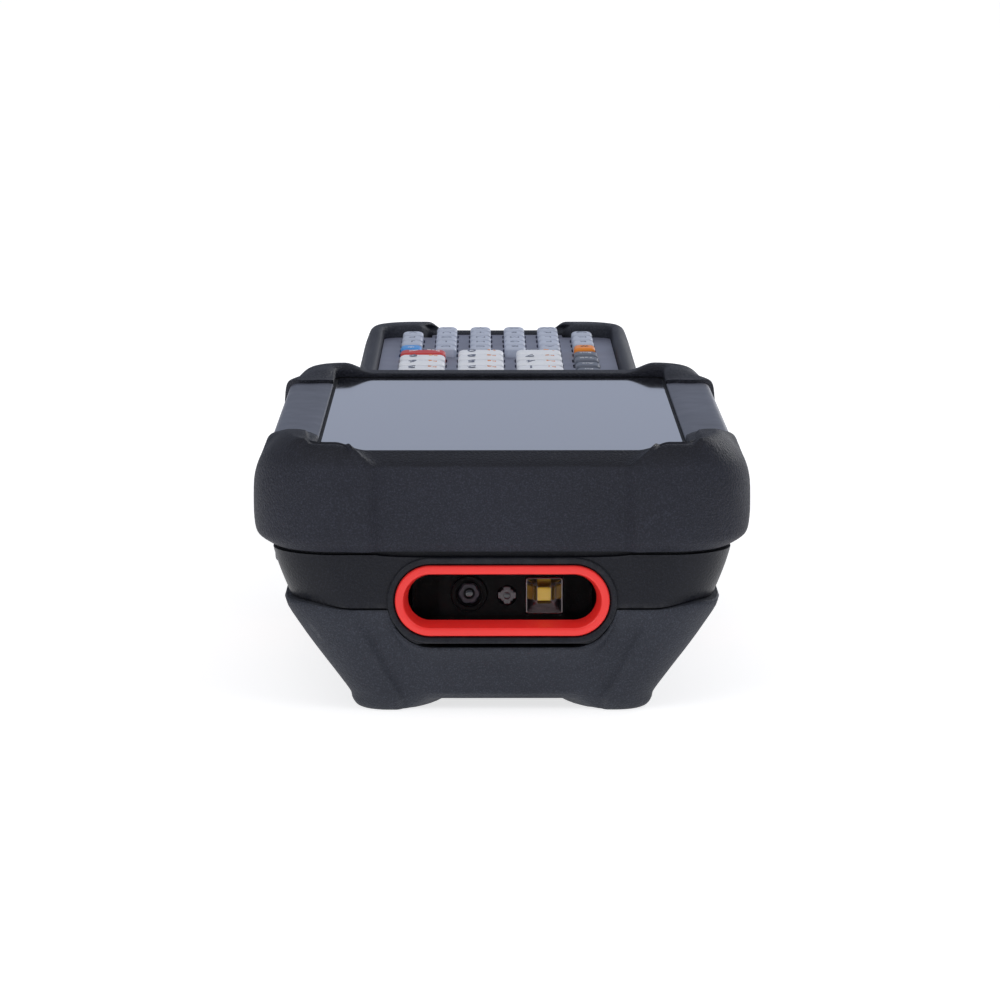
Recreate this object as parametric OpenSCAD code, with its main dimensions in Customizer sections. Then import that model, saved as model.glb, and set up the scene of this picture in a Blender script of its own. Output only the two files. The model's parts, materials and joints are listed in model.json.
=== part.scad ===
// Rugged handheld mobile computer with a touch display, a nose-mounted code
// imager and a keypad handle. Millimetres, +Z up, origin under the middle of
// the body on the surface that it rests on. The nose faces -Y.
// Inside the file, "depth" is the distance behind the foremost face of the nose.
// Left is -X and right is +X, except for the arrow keys: those are named as the
// user sees them, who holds the handle and looks along the imager's line of sight.

/* [Body] */
// Overall length from the nose to the heel
body_l = 235; // [233:1:238]
// Length of the display head, the rest is the handle
head_l = 118; // [117:0.5:119]
// Width over the front corner bumpers
bumper_w = 83; // [82:0.5:85]
// Width over the side rails
rail_w = 78.8; // [78:0.2:80]
// Width of the handle at its widest
grip_w = 58.8; // [58.6:0.2:60]
// Height of the front bumper's corner pads
pad_h = 46.05; // [45.6:0.05:46.6]

/* [Display] */
// Width of the glass that shows between the rails
view_w = 62; // [60:0.5:63]
// Depth at which the visible glass begins
view_front = 6.5; // [6.3:0.1:7]
// Depth at which the visible glass ends
view_rear = 108; // [106:0.5:108.5]
// Height of the glass's top face
glass_h = 43.3; // [43:0.05:43.3]
// Thickness of the touch glass
glass_t = 1.8; // [1.5:0.1:1.9]

/* [Imager] */
// Height of the scan window's centre
scan_h = 19.3; // [19:0.1:19.6]
// Length of the red bezel
bezel_l = 35.5; // [34:0.5:36]
// Height of the red bezel
bezel_h = 11.8; // [11:0.1:12]
// Width of the bezel's front ring
bezel_ring = 1.4; // [1:0.1:1.8]
// Depth of the bezel's funnel
funnel_d = 3.8; // [3:0.1:4]

/* [Keypad] */
// Height of the keypad plate's top face
plate_h = 37.8; // [37.5:0.1:38]
// Width of the keypad plate
plate_w = 48.8; // [48:0.2:49]
// Pitch of the letter columns
letter_pitch = 7.24; // [7:0.02:7.4]
// Pitch of the letter rows
row_pitch = 8.4; // [8:0.1:8.6]
// Key travel
key_travel = 0.8; // [0.5:0.1:1]
// Gap round each key in the plate
key_gap = 0.35; // [0.3:0.05:0.45]

/* [Battery] */
// Length of the battery pack
battery_l = 74; // [66:1:75]
// Width of the battery pack
battery_w = 40; // [36:1:41]

/* [Hidden] */
$fn = 48;

wall_t = 2;
// Height at which the upper and lower housings meet
seam_h = 19;
shell_front = 2.7;
lower_front = 1.9;
// How far the lower housing's front leans back for each millimetre down
front_lean = 0.19;
bar_setback = 1.5;
bumper_bottom = 27.6;
shell_top = 27.5;
head_corner = 9.3;
// Half the width of the lower housing's lip under the head
lip_w = 36.35;
grip_half = grip_w / 2;
grip_seam_w = grip_half - 1;
belly_head = 1.3;
belly_grip = 8;
heel_front = body_l - 22;
battery_front = 126;
battery_rear = battery_front + battery_l;
latch_w = 18;
latch_l = 6;
latch_travel = 2.4;
latch_front = battery_rear + 1.6;
key_top = 39.8;
dome_top = 34.8;
key_foot = dome_top + key_travel + 0.3;
post_x = 20;
front_post_x = 17.2;
post_depths = [30, 84];
frame_post_x = 17;
frame_post_depth = head_l + 4.4;
strap_x = 13;
strap_depth = 98;
trigger_depth = 78;
trigger_l = 27;
rocker_depth = 45;
rocker_l = 21;
rocker_axis_x = -35.9;
rocker_pin_d = 1.1;
rocker_bore_d = 1.4;
side_key_h = 6;
side_key_x = 38;
side_key_z = 23.1;
camera_depth = 37;
camera_d = 14.8;
speaker_depth = 66;
dock_z = 13;
dock_w = 22;
dock_h = 6;

// ---- Helpers ----
function mix(a, b, t) = a + (b - a) * t;
function ease(a, b, v) = let (t = min(1, max(0, (v - a) / (b - a)))) t * t * (3 - 2 * t);
function mix_rows(a, b, t) = [for (j = [0:len(a) - 1]) mix(a[j], b[j], t)];

// One point of a round-cornered outline. s runs from the front centre (0)
// over the front corner (1 to 2), the side (2 to 3) and the rear corner (3 to 4)
// to the rear centre (5).
function outline(s, w, y0, y1, rf, rr) =
  s < 1 ? [s * (w - rf), y0] :
  s < 2 ? [w - rf + rf * sin((s - 1) * 90), y0 + rf - rf * cos((s - 1) * 90)] :
  s < 3 ? [w, mix(y0 + rf, y1 - rr, s - 2)] :
  s < 4 ? [w - rr + rr * cos((s - 3) * 90), y1 - rr + rr * sin((s - 3) * 90)] :
  [(5 - s) * (w - rr), y1];

function flipped(row) = [for (p = row) [-p.x, p.y, p.z]];
// The right half's rows, from front centre to rear centre, made into a full ring
function full_ring(half) = let (m = len(half) - 1)
  concat(half, [for (i = [m - 1:-1:1]) flipped(half[i])]);
// Rows that start at a centre line, made into a strip that runs through it
function through_centre(half) = let (m = len(half) - 1)
  concat([for (i = [m:-1:1]) flipped(half[i])], half);

function quad(a, b, c, d) = [[a, b, c], [a, c, d]];

// A closed wall between two skins. Rows run round the object and columns run
// across the wall. A ring joins its last row to its first.
module skin_wall(outer, inner, ring) {
  rows = len(outer);
  cols = len(outer[0]);
  last = ring ? rows - 1 : rows - 2;
  in0 = rows * cols;
  points = concat([for (r = outer) each r], [for (r = inner) each r]);
  sheets = [for (i = [0:last], j = [0:cols - 2])
    let (a = i * cols + j, b = ((i + 1) % rows) * cols + j)
    each concat(quad(a, b, b + 1, a + 1), quad(in0 + a, in0 + a + 1, in0 + b + 1, in0 + b))];
  edges = [for (i = [0:last])
    let (a = i * cols, b = ((i + 1) % rows) * cols, e = cols - 1)
    each concat(quad(a, in0 + a, in0 + b, b), quad(a + e, b + e, in0 + b + e, in0 + a + e))];
  end = (rows - 1) * cols;
  caps = ring ? [] : [for (j = [0:cols - 2])
    each concat(quad(j, j + 1, in0 + j + 1, in0 + j),
      quad(end + j, in0 + end + j, in0 + end + j + 1, end + j + 1))];
  polyhedron(points, concat(sheets, edges, caps));
}

// A bowl: two ring skins joined at their first column and closed across the
// floor at their last column, where each row meets its mirror image.
module bowl(outer, inner) {
  rows = len(outer);
  cols = len(outer[0]);
  in0 = rows * cols;
  points = concat([for (r = outer) each r], [for (r = inner) each r]);
  sheets = [for (i = [0:rows - 1], j = [0:cols - 2])
    let (a = i * cols + j, b = ((i + 1) % rows) * cols + j)
    each concat(quad(a, b, b + 1, a + 1), quad(in0 + a, in0 + a + 1, in0 + b + 1, in0 + b))];
  edges = [for (i = [0:rows - 1])
    let (a = i * cols, b = ((i + 1) % rows) * cols)
    each quad(a, in0 + a, in0 + b, b)];
  half = rows / 2;
  e = cols - 1;
  floors = [for (i = [0:half - 1])
    let (a = i * cols + e, b = (i + 1) * cols + e,
         c = (rows - i - 1) * cols + e, d = ((rows - i) % rows) * cols + e)
    each concat(
      i < half - 1 ? [[a, b, c]] : [],
      i > 0 ? [[a, i < half - 1 ? c : b, d]] : [],
      i < half - 1 ? [[in0 + a, in0 + c, in0 + b]] : [],
      i > 0 ? [[in0 + a, in0 + d, in0 + (i < half - 1 ? c : b)]] : [])];
  polyhedron(points, concat(sheets, edges, floors));
}

module placed() {
  translate([0, -body_l / 2, 0]) children();
}

module round_rect(w, l, r) {
  square([w - 2 * r, l], center = true);
  square([w, l - 2 * r], center = true);
  for (sx = [-1, 1], sy = [-1, 1])
    translate([sx * (w / 2 - r), sy * (l / 2 - r)]) circle(r = r);
}

// A flat plate with round corners between two depths and two heights
module plate(w, y0, y1, z0, z1, r) {
  translate([0, (y0 + y1) / 2, z0])
    linear_extrude(height = z1 - z0) round_rect(w, y1 - y0, r);
}

// A stadium-shaped bar that runs back from depth y0 to y1
module stadium(l, h, y0, y1) {
  translate([0, y1, scan_h]) rotate([90, 0, 0])
    linear_extrude(height = y1 - y0) {
      square([l - h, h], center = true);
      for (sx = [-1, 1])
        translate([sx * (l - h) / 2, 0]) circle(r = h / 2);
    }
}

// ---- Head ring: bumpers and rails share one path round the glass ----
// Each profile point is [share of the way from the glass to the outer face, height].
bar_profile = [[0, 43.35], [0, 43.75], [0.06, 43.9], [0.3, 43.6], [0.62, 43.15], [0.88, 42.7],
  [0.97, 42.2], [1, 41.3], [1, 36], [1, 31], [0.97, 28.8], [0.85, bumper_bottom]];
pad_profile = [[0, 43.35], [0, 44.8], [0.05, 45.1], [0.12, 45.35], [0.18, pad_h], [0.47, pad_h],
  [0.84, 42.6], [0.94, 40.6], [1, 37.8], [1, 31.5], [0.94, 29], [0.74, bumper_bottom]];
rail_profile = [[0, 43.35], [0, 43.75], [0.07, 44], [0.18, 44.2], [0.5, 44.3], [0.84, 44.1],
  [0.95, 43.2], [1, 41], [1, 37], [0.97, 32], [0.93, 29], [0.86, bumper_bottom]];
rear_pad_profile = [[0, 43.35], [0, 44.9], [0.05, 45.3], [0.15, 45.65], [0.38, 45.6], [0.58, 44.9],
  [0.82, 42.6], [0.94, 40.4], [1, 37.6], [1, 32], [0.95, 29], [0.8, bumper_bottom]];
rear_bar_profile = [[0, 43.35], [0, 43.9], [0.04, 44.02], [0.2, 44.06], [0.42, 44.06], [0.58, 43.9],
  [0.8, 42.8], [0.95, 41], [1, 39], [1, 34], [1, 30], [0.98, bumper_bottom]];

front_corner = 15;
rear_corner = 10;
glass_corner = 2;
glass_rear_corner = 3.5;
rubber_proud = 0.6;
joint_gap = 0.4;
front_joint = 20;
rear_joint = 94;

function head_half_w(y, proud) =
  rail_w / 2 + proud
  + (bumper_w / 2 - rail_w / 2 - rubber_proud) * (1 - ease(front_corner, front_joint, y))
  + 0.3 * ease(rear_joint - 2, 101, y);

function side_s(y) = 2 + (y - front_corner) / (head_l - rear_corner - front_corner);
function side_y(s) = mix(front_corner, head_l - rear_corner, s - 2);

function outer_xy(s, proud) =
  let (w = s < 2 ? bumper_w / 2 : s < 3 ? head_half_w(side_y(s), proud) : head_half_w(head_l, proud),
       p = outline(s, w, 0, head_l, front_corner, rear_corner))
  [p.x, p.y + (s < 2 ? bar_setback * (1 - ease(19.4, 22.6, p.x)) : 0)];

function inner_xy(s) =
  let (w = view_w / 2, y0 = view_front + glass_corner, y1 = view_rear - glass_rear_corner)
  s < 1 ? [s * (w - glass_corner), view_front] :
  s < 1.5 ? [w - glass_corner + glass_corner * sin((s - 1) * 180), y0 - glass_corner * cos((s - 1) * 180)] :
  s < 2 ? [w, mix(y0, front_corner, (s - 1.5) * 2)] :
  s < 3 ? [w, min(side_y(s), y1)] :
  s < 4 ? [w - glass_rear_corner * (1 - cos((s - 3) * 90)), y1 + glass_rear_corner * sin((s - 3) * 90)] :
  [(5 - s) * (w - glass_rear_corner), view_rear];

// The rubber's edge over the rail is an arc
function joint_arc(a) = 3.2 * (1 - pow(2 * a - 1, 2));
function joint_shift(a, y) =
  joint_arc(a) * ease(front_corner, front_joint, y) * (1 - ease(rear_joint, head_l - rear_corner, y))
  * (1 - 2 * ease(front_joint + 4, rear_joint - 4, y));

function head_profile(s, proud) =
  let (p = outer_xy(s, proud),
       raised = [for (j = [0:len(rail_profile) - 1]) rail_profile[j] + [0, j > 0 && j < 7 ? proud : 0]])
  s < 2 ? mix_rows(bar_profile, pad_profile, ease(20.5, 25.5, p.x)) :
  s < 2.5 ? mix_rows(pad_profile, raised, ease(front_corner, front_joint, p.y)) :
  s < 4 ? mix_rows(raised, rear_pad_profile, ease(rear_joint + 1, 103, p.y)) :
  mix_rows(rear_bar_profile, rear_pad_profile, ease(25, 30.5, p.x));

// The front pads step down by a millimetre beside the glass
function pad_step(s, x, z) = s < 2.3 && z > 45.4 ? z - 1 + ease(31.6, 32.9, x) : z;

function head_outer_row(s, proud) =
  let (o = outer_xy(s, proud), i = inner_xy(s), prof = head_profile(s, proud))
  [for (q = prof) let (x = mix(i.x, o.x, q[0]), y = mix(i.y, o.y, q[0]))
    [x, s < 2 || s >= 3 ? y : y + joint_shift(q[0], y), pad_step(s, x, q[1])]];

// Thickness of the ring behind its outer face, more at the corners
function ring_t(s) = s < 2 ? mix(3, 5.2, ease(20, 26, s * 26.5))
  : s < 3 ? mix(5.2, 3, ease(front_corner, front_joint, side_y(s))) + 1.6 * ease(rear_joint, 104, side_y(s))
  : mix(4.6, 3, ease(4, 4.3, s));

function head_inner_row(s, proud) =
  let (o = outer_xy(s, proud), i = inner_xy(s), l = norm(o - i), t = ring_t(s) + (s >= 2 && s < 3 ? proud : 0),
       far = (l - t) / l, near = 1.15 / l)
  [for (q = [[near, 43.35], [near, 42.9], [near, 42.3], [near, 41.3], [mix(near, far, 0.5), 40.8],
             [mix(near, far, 0.95), 40.3], [far, 39.4], [far, 38], [far, 35], [far, 32], [far, 29.5],
             [far, bumper_bottom]])
    let (x = mix(i.x, o.x, q[0]), y = mix(i.y, o.y, q[0]))
    [x, s < 2 || s >= 3 ? y : y + joint_shift(q[0], y), q[1]]];

front_s = [0, 0.35, 0.6, 0.68, 0.74, 0.79, 0.83, 0.87, 0.93, 1,
  1.12, 1.25, 1.38, 1.5, 1.62, 1.75, 1.88];

module nose_bumper() {
  stops = concat(front_s, [for (y = [15, 16.2, 17.5, 18.8, front_joint]) side_s(y)]);
  color("#33363f") placed()
    skin_wall(through_centre([for (s = stops) head_outer_row(s, rubber_proud)]),
      through_centre([for (s = stops) head_inner_row(s, rubber_proud)]), false);
}

module rear_bumper() {
  stops = concat([for (y = [rear_joint, 96, 98.5, 101, 104]) side_s(y)],
    [3, 3.2, 3.4, 3.6, 3.8, 4, 4.08, 4.16, 4.24, 4.5, 5]);
  half = len(stops) - 1;
  outer = [for (s = stops) head_outer_row(s, rubber_proud)];
  inner = [for (s = stops) head_inner_row(s, rubber_proud)];
  color("#33363f") placed()
    skin_wall(concat(outer, [for (i = [half - 1:-1:0]) flipped(outer[i])]),
      concat(inner, [for (i = [half - 1:-1:0]) flipped(inner[i])]), false);
}

module rail() {
  depths = [front_joint + joint_gap, 24, 28, 34, 42, 59, 76, 84, 90, rear_joint - joint_gap];
  stops = [for (y = depths) side_s(y)];
  skin_wall([for (s = stops) head_outer_row(s, 0)], [for (s = stops) head_inner_row(s, 0)], false);
}

module right_rail() {
  color("#5c6069") placed() rail();
}

module left_rail() {
  color("#5c6069") placed() mirror([1, 0, 0]) rail();
}

// ---- Housings ----
// The lip of the lower cover runs round the scan window's rim in an arc
lip_front = 17.7;
lip_arc_w = 7.3;
lip_arc_h = 8.1;
lip_blend = 1.2;
// Clearance between the head shell's front and the lip, upwards and along the arc
lip_gap = 0.8;

function arc_z(x) =
  let (u = max(0, x - (bezel_l - bezel_h) / 2) / lip_arc_w)
  scan_h - (u < 1 ? lip_arc_h * sqrt(1 - u * u) : 0);

// The lower of two heights, with a rounded corner between them
function soft_min(a, b, k) =
  let (h = min(1, max(0, 0.5 + 0.5 * (b - a) / k))) mix(b, a, h) - k * h * (1 - h);

function lip_z(x) = soft_min(mix(lip_front, seam_h, ease(25, 35, x)), arc_z(x), lip_blend);

shell_levels = [0, 0.05, 0.3, 0.55, 0.8, 1];
shell_w = 38.3;
shell_taper = 3;
shell_s = [0, 0.3, 0.45, 0.53, 0.57, 0.61, 0.65, 0.69, 0.73, 0.78, 0.85, 0.93, 1,
  1.2, 1.4, 1.6, 1.8, 2, 2.25, 2.5, 2.75, 3, 3.2, 3.4, 3.6, 3.8, 4, 4.5, 5];

function shell_row(s, inset) =
  let (foot = outline(s, shell_w - shell_taper, shell_front, head_l, 10, head_corner),
       bottom = s < 2 ? lip_z(foot.x + lip_gap) + lip_gap : seam_h)
  [for (q = shell_levels)
    let (z = mix(shell_top, bottom + 0.05, q),
         w = shell_w - shell_taper * pow((shell_top - max(z, seam_h)) / (shell_top - seam_h), 1.3) - inset,
         p = outline(s, w, shell_front + inset, head_l - inset, 10 - inset, head_corner - inset))
    [p.x, p.y, z]];

module side_pocket(side, depth, l, h) {
  translate([side * (side_key_x - 1), depth, side_key_z]) rotate([0, 90, 0])
    linear_extrude(height = 12, center = true) round_rect(h, l, 2.2);
}

// The rocker's upright pivot axis, as a pin or as the bore round it
module rocker_pivot(d, h) {
  translate([rocker_axis_x, rocker_depth, side_key_z]) cylinder(h = h, d = d, center = true);
}

module head_shell() {
  color("#2c2e36") placed() {
    rocker_pivot(rocker_pin_d, side_key_h + 1.2);
    head_shell_skin();
  }
}

module head_shell_skin() {
  difference() {
    union() {
      skin_wall(full_ring([for (s = shell_s) shell_row(s, 0)]),
        full_ring([for (s = shell_s) shell_row(s, wall_t + 0.2)]), true);
      difference() {
        stadium(bezel_l + 2.6, bezel_h + 2.6, 2.2, 3.2);
        stadium(bezel_l + 0.4, bezel_h + 0.4, 2, 3.4);
      }
    }
    stadium(bezel_l + 0.2, bezel_h + 0.2, 0, 3.4);
    stadium(bezel_l - 1.2, bezel_h - 1.2, 0, 6);
    side_pocket(1, trigger_depth, trigger_l + 0.8, side_key_h + 0.8);
    side_pocket(-1, trigger_depth, trigger_l + 0.8, side_key_h + 0.8);
    side_pocket(-1, rocker_depth, rocker_l + 0.8, side_key_h + 0.8);
  }
}

// Cross-sections of the lower cover from lip to belly: [inset from the lip, height]
head_section = [[0.25, seam_h], [0, seam_h - 0.5], [2.6, 14], [5.4, 10], [8.2, 6], [10.2, 3.6],
  [11.2, 2.5], [12.6, 1.8], [19.6, 1.4], [23.7, belly_head]];
foot_section = [[0.25, seam_h], [0, seam_h - 0.5], [2.6, 14], [5.4, 10], [8.4, 6], [10.9, 2.4],
  [11.3, 1], [12.4, 0], [19.6, 0], [23.7, belly_head]];
grip_section = [[0.1, seam_h], [0, seam_h - 0.5], [0.5, 15.2], [1.4, 13], [2.7, 11], [3.9, 9.7],
  [4.9, 8.8], [5.9, 8.2], [7, belly_grip], [14, belly_grip]];
heel_section = [[0.1, seam_h], [0, seam_h - 0.5], [0.7, 14], [1.8, 10], [3.2, 6], [4.4, 3],
  [5.2, 1.3], [6.4, 0.3], [7.6, 0], [14, 0]];
level_front = [0.2, 0, 0, 0, 0, 0, 0.6, 1.6, 8, 12];
level_rear = [0.1, 0, 0.2, 0.6, 1.2, 2, 2.8, 3.8, 5, 12];
level_corner = [9, 9, 8.6, 8, 7.2, 6.6, 6, 5, 3, 2];
// The belly's innermost ring bows out at both ends
belly_bow = 2.5;
level_tail_corner = [12, 12, 12, 11.6, 11, 10.4, 9.6, 8.6, 7.4, 2];

function cover_lip_w(y) =
  y < head_l - head_corner ? lip_w :
  y < head_l ? max(grip_seam_w,
    lip_w - head_corner + sqrt(pow(head_corner, 2) - pow(y - head_l + head_corner, 2))) :
  grip_seam_w;

function cover_section(y, foot) =
  let (head = mix_rows(head_section, foot_section, foot),
       grip = mix_rows(grip_section, heel_section, ease(heel_front - 3, heel_front + 1.5, y)))
  [for (j = [0:len(head) - 1])
    [mix(head[j][0], grip[j][0], ease(90, head_l + 2, y)), mix(head[j][1], grip[j][1], ease(44, 86, y))]];

cover_depths = [12, 20, 21, 25, 29, 36, 44, 52, 60, 68, 76, 84, 92, 100, head_l - head_corner,
  111.5, 114, 116, 117.4, 119, 122, 127, 150, 180, 205, heel_front - 3, heel_front - 1.5,
  heel_front, heel_front + 1.5, heel_front + 5];
cover_front_s = [0, 0.2, 0.36, 0.48, 0.53, 0.58, 0.63, 0.68, 0.73, 0.78, 0.84, 0.89, 0.93, 1,
  1.2, 1.4, 1.6, 1.8];
tail_s = [3, 3.2, 3.4, 3.6, 3.8, 4, 4.5, 5];

// Height of the belly's edge, below which the front doesn't follow the lip
edge_z = 2.5;
function cover_front_z(z, x0) = z >= seam_h - 0.5 ? lip_z(x0) - (seam_h - z)
  : mix(edge_z, lip_z(x0) - 0.5, (z - edge_z) / (seam_h - 0.5 - edge_z));

function cover_front_row(s, t) =
  let (foot = s < 1 ? ease(0.62, 0.86, s) : 1, sec = cover_section(0, foot),
       x0 = outline(s, lip_w, 0, 100, 9, 9).x)
  [for (j = [0:len(sec) - 1])
    let (z = s < 1 && sec[j][1] > edge_z ? cover_front_z(sec[j][1], x0) : sec[j][1],
         r = max(0.5, level_corner[j] - t * 0.6),
         p = outline(s, lip_w - sec[j][0] - t,
           lower_front + front_lean * (seam_h - max(z, 0)) + level_front[j] + t, 200, r, 9),
         hollow = s < 1 && j > 0 && j < 8 ? 1.1 * (1 - ease(0.86, 0.92, s)) * ease(0, 3, lip_z(x0) - z) : 0)
    [p.x, p.y + hollow + (j == 9 ? belly_bow * pow(p.x / 12, 2) - belly_bow : 0),
      t > 0 ? max(z, belly_head + t) : z]];

function cover_side_row(y, t) =
  let (sec = cover_section(y, 1 - ease(20, 25, y)), belly = sec[len(sec) - 1][1])
  [for (j = [0:len(sec) - 1])
    let (first = lower_front + front_lean * (seam_h - sec[j][1]) + level_front[j]
           + max(0.5, level_corner[j] - t * 0.6) + t)
    [cover_lip_w(y) - sec[j][0] - t, max(y, first), t > 0 ? max(sec[j][1], belly + t) : sec[j][1]]];

function cover_tail_row(s, t) =
  let (sec = heel_section)
  [for (j = [0:len(sec) - 1])
    let (p = outline(s, grip_seam_w - sec[j][0] - t, 0, body_l - 0.4 - level_rear[j] - t, 5,
           max(0.8, level_tail_corner[j] - t)))
    [p.x, p.y - (j == 9 ? belly_bow * pow(p.x / 14, 2) - belly_bow : 0),
      t > 0 ? max(sec[j][1], t) : sec[j][1]]];

function cover_half(t) = concat(
  [for (s = cover_front_s) cover_front_row(s, t)],
  [for (y = cover_depths) cover_side_row(y, t)],
  [for (s = tail_s) cover_tail_row(s, t)]);

module screw_seat(x, y, z) {
  translate([x, y, z - 1]) cylinder(h = 2.1, d = 5.2);
  translate([x, y, z - 1]) cylinder(h = 20, d = 2.5);
}

module lower_cover() {
  color("#3a3d46") placed() difference() {
    bowl(full_ring(cover_half(0)), full_ring(cover_half(wall_t)));
    plate(battery_w + 0.8, battery_front - 0.4, battery_rear + 0.4, -1, 17, 3.4);
    plate(latch_w + 0.6, latch_front - 0.3, latch_front + latch_l + latch_travel + 0.3, 2, 17, 1.5);
    translate([-dock_w / 2 - 0.3, body_l - 12, dock_z - dock_h / 2 - 0.3])
      cube([dock_w + 0.6, 20, dock_h + 0.6]);
    for (x = [-1, 1]) {
      screw_seat(x * front_post_x, post_depths[0], belly_head);
      screw_seat(x * post_x, post_depths[1], belly_grip);
    }
    for (x = [-frame_post_x, frame_post_x]) screw_seat(x, frame_post_depth, belly_grip);
    for (x = [-strap_x, strap_x]) translate([x, strap_depth, 0]) cylinder(h = 14, d = 5);
    translate([0, camera_depth, 0]) cylinder(h = 8, d = camera_d + 0.4);
    for (i = [-2:2]) translate([0, speaker_depth + 3 * i, 0])
      linear_extrude(height = 12) square([16 - 1.6 * abs(i), 1.3], center = true);
  }
}

// Handle's upper housing: walls, rim and two raised pads at the tail corners
// as [inset from the widest point, height]
frame_side = [[1, seam_h + 0.05], [0.3, 24], [0, 30], [0.6, 35.4], [1.3, 37.4], [2.1, 38.9],
  [3, 39.7], [4, 39.9], [4.7, 39.4], [4.8, 36.6]];
frame_inner = [[3.2, seam_h + 0.05], [2.5, 22], [2.2, 26], [2.2, 30], [2.5, 33], [2.8, 34.6],
  [3.1, 35.8], [3.4, 36.3], [3.7, 36.6], [4.1, 36.6]];
frame_tail = [0.4, 0, 0, 1.8, 3.4, 5.2, 7.2, 13, 14.2, 14.4];
frame_tail_in = [2.6, 2.3, 2.4, 3, 5, 7.5, 10, 12, 13, 13.8];
frame_head = [0, 0, 0, 0, 0, 0.2, 0.7, 2.1, 2.5, 2.6];
frame_head_in = [2, 2, 2, 2, 2, 2, 2, 2, 2, 2.1];
frame_tail_corner = [12, 12, 12, 11.5, 11, 9.5, 8.5, 4.5, 4, 4];
frame_s = [0, 0.5, 1, 1.5, 2, 2.2, 2.4, 2.6, 2.8, 2.87, 2.93, 3, 3.2, 3.4, 3.6, 3.8, 4, 4.1, 4.17,
  4.23, 4.3, 4.37, 4.6, 5];
// The keypad's last row stands in a bay between the tail's corner pads
bay_half_w = 14.6;
bay_l = 5.2;
bay_share = [0, 0, 0, 0, 0, 0, 0, 1, 1, 1];
bay_share_in = [0, 0, 0, 0, 0.2, 0.4, 0.75, 1, 1, 1];

// How far the tail's corner pads rise over the rim
tail_pad_lift = 0.7;
function rim_lift(s) = s < 2.8 ? 0 : s < 3 ? tail_pad_lift * ease(2.8, 2.93, s)
  : s < 4 ? tail_pad_lift : mix(tail_pad_lift, -1.3, ease(4.17, 4.37, s));

function frame_row(s, inner) =
  [for (j = [0:len(frame_side) - 1])
    let (side = inner ? frame_inner[j] : frame_side[j],
         y0 = head_l + 0.05 + (inner ? frame_head_in[j] : frame_head[j]),
         y1 = body_l - (inner ? frame_tail_in[j] : frame_tail[j]),
         r = inner ? max(2, frame_tail_corner[j] - 2) : frame_tail_corner[j],
         p = outline(s, grip_half - side[0], y0, y1, 0.8, r),
         head_drop = inner || j < 5 || j > 8 ? 0 : -1.3 * (1 - ease(1.5, 2.15, s)),
         lift = inner || j < 4 || j > 8 ? 0 : rim_lift(s) * (j == 4 ? 0.4 : 1),
         bay = s < 4 ? 0 : bay_l * (1 - ease(bay_half_w, bay_half_w + 1.8, p.x)))
    [p.x, p.y + bay * (inner ? bay_share_in[j] : bay_share[j]), side[1] + lift + head_drop]];

module keypad_frame() {
  color("#3a3d46") placed() difference() {
    union() {
      skin_wall(full_ring([for (s = frame_s) frame_row(s, true)]),
        full_ring([for (s = frame_s) frame_row(s, false)]), true);
      for (x = [-frame_post_x, frame_post_x])
        translate([x, frame_post_depth, 10.4]) cylinder(h = 20, d = 5.4);
    }
    for (x = [-frame_post_x, frame_post_x])
      translate([x, frame_post_depth, 8]) cylinder(h = 16, d = 2);
  }
}

// ---- Display stack ----
pane_corner = 4.6;
chassis_w = 70.2;
chassis_h = 34.6;
chassis_top = 41;
lcd_w = 59;
lcd_front = 12;
lcd_rear = 103;
lcd_h = 37.2;

module touch_glass() {
  color("#4c5160") placed()
    plate(view_w + 2, view_front - 1, view_rear + 1, glass_h - glass_t, glass_h, pane_corner);
}

module display_gasket() {
  color("#141518") placed() difference() {
    plate(view_w + 1.8, view_front - 0.9, view_rear + 0.9, chassis_top + 0.05, glass_h - glass_t, pane_corner);
    plate(lcd_w + 0.6, lcd_front - 0.2, lcd_rear + 0.2, 40, 43, 1.5);
  }
}

module lcd_module() {
  color("#22252c") placed() union() {
    plate(lcd_w, lcd_front, lcd_rear, lcd_h, glass_h - glass_t - 0.1, 1.2);
    plate(40, lcd_rear - 3, lcd_rear + 3, lcd_h, lcd_h + 1.2, 1);
  }
}

module chassis_frame() {
  color("#9a9da3") placed() difference() {
    union() {
      plate(chassis_w, 5.2, 112, chassis_h, 39.8, 11);
      plate(view_w + 1.8, view_front - 0.9, view_rear + 0.9, chassis_h, chassis_top, pane_corner);
      for (x = [-1, 1]) {
        translate([x * front_post_x, post_depths[0], 4.2]) cylinder(h = 31, d = 6);
        translate([x * post_x, post_depths[1], 10.4]) cylinder(h = 25, d = 6);
      }
    }
    plate(lcd_w + 0.6, lcd_front - 0.2, lcd_rear + 4, lcd_h - 0.2, 43, 1.5);
    for (x = [-1, 1]) {
      translate([x * front_post_x, post_depths[0], 4]) cylinder(h = 16, d = 2);
      translate([x * post_x, post_depths[1], 8]) cylinder(h = 16, d = 2);
    }
  }
}

module main_board() {
  color("#2f5d3a") placed() difference() {
    union() {
      plate(66, 9, 113, 31.4, 33, 10);
      for (c = [[-16, 70, 20, 24], [12, 66, 18, 18], [14, 88, 16, 12], [-14, 44, 22, 14]])
        translate([c[0] - c[2] / 2, c[1] - c[3] / 2, 29.4]) cube([c[2], c[3], 2.2]);
    }
    for (x = [-1, 1]) {
      translate([x * front_post_x, post_depths[0], 28]) cylinder(h = 8, d = 6.8);
      translate([x * post_x, post_depths[1], 28]) cylinder(h = 8, d = 6.8);
    }
  }
}

// ---- Imager ----
bezel_front = 2;
window_front = bezel_front + funnel_d + 0.05;

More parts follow.
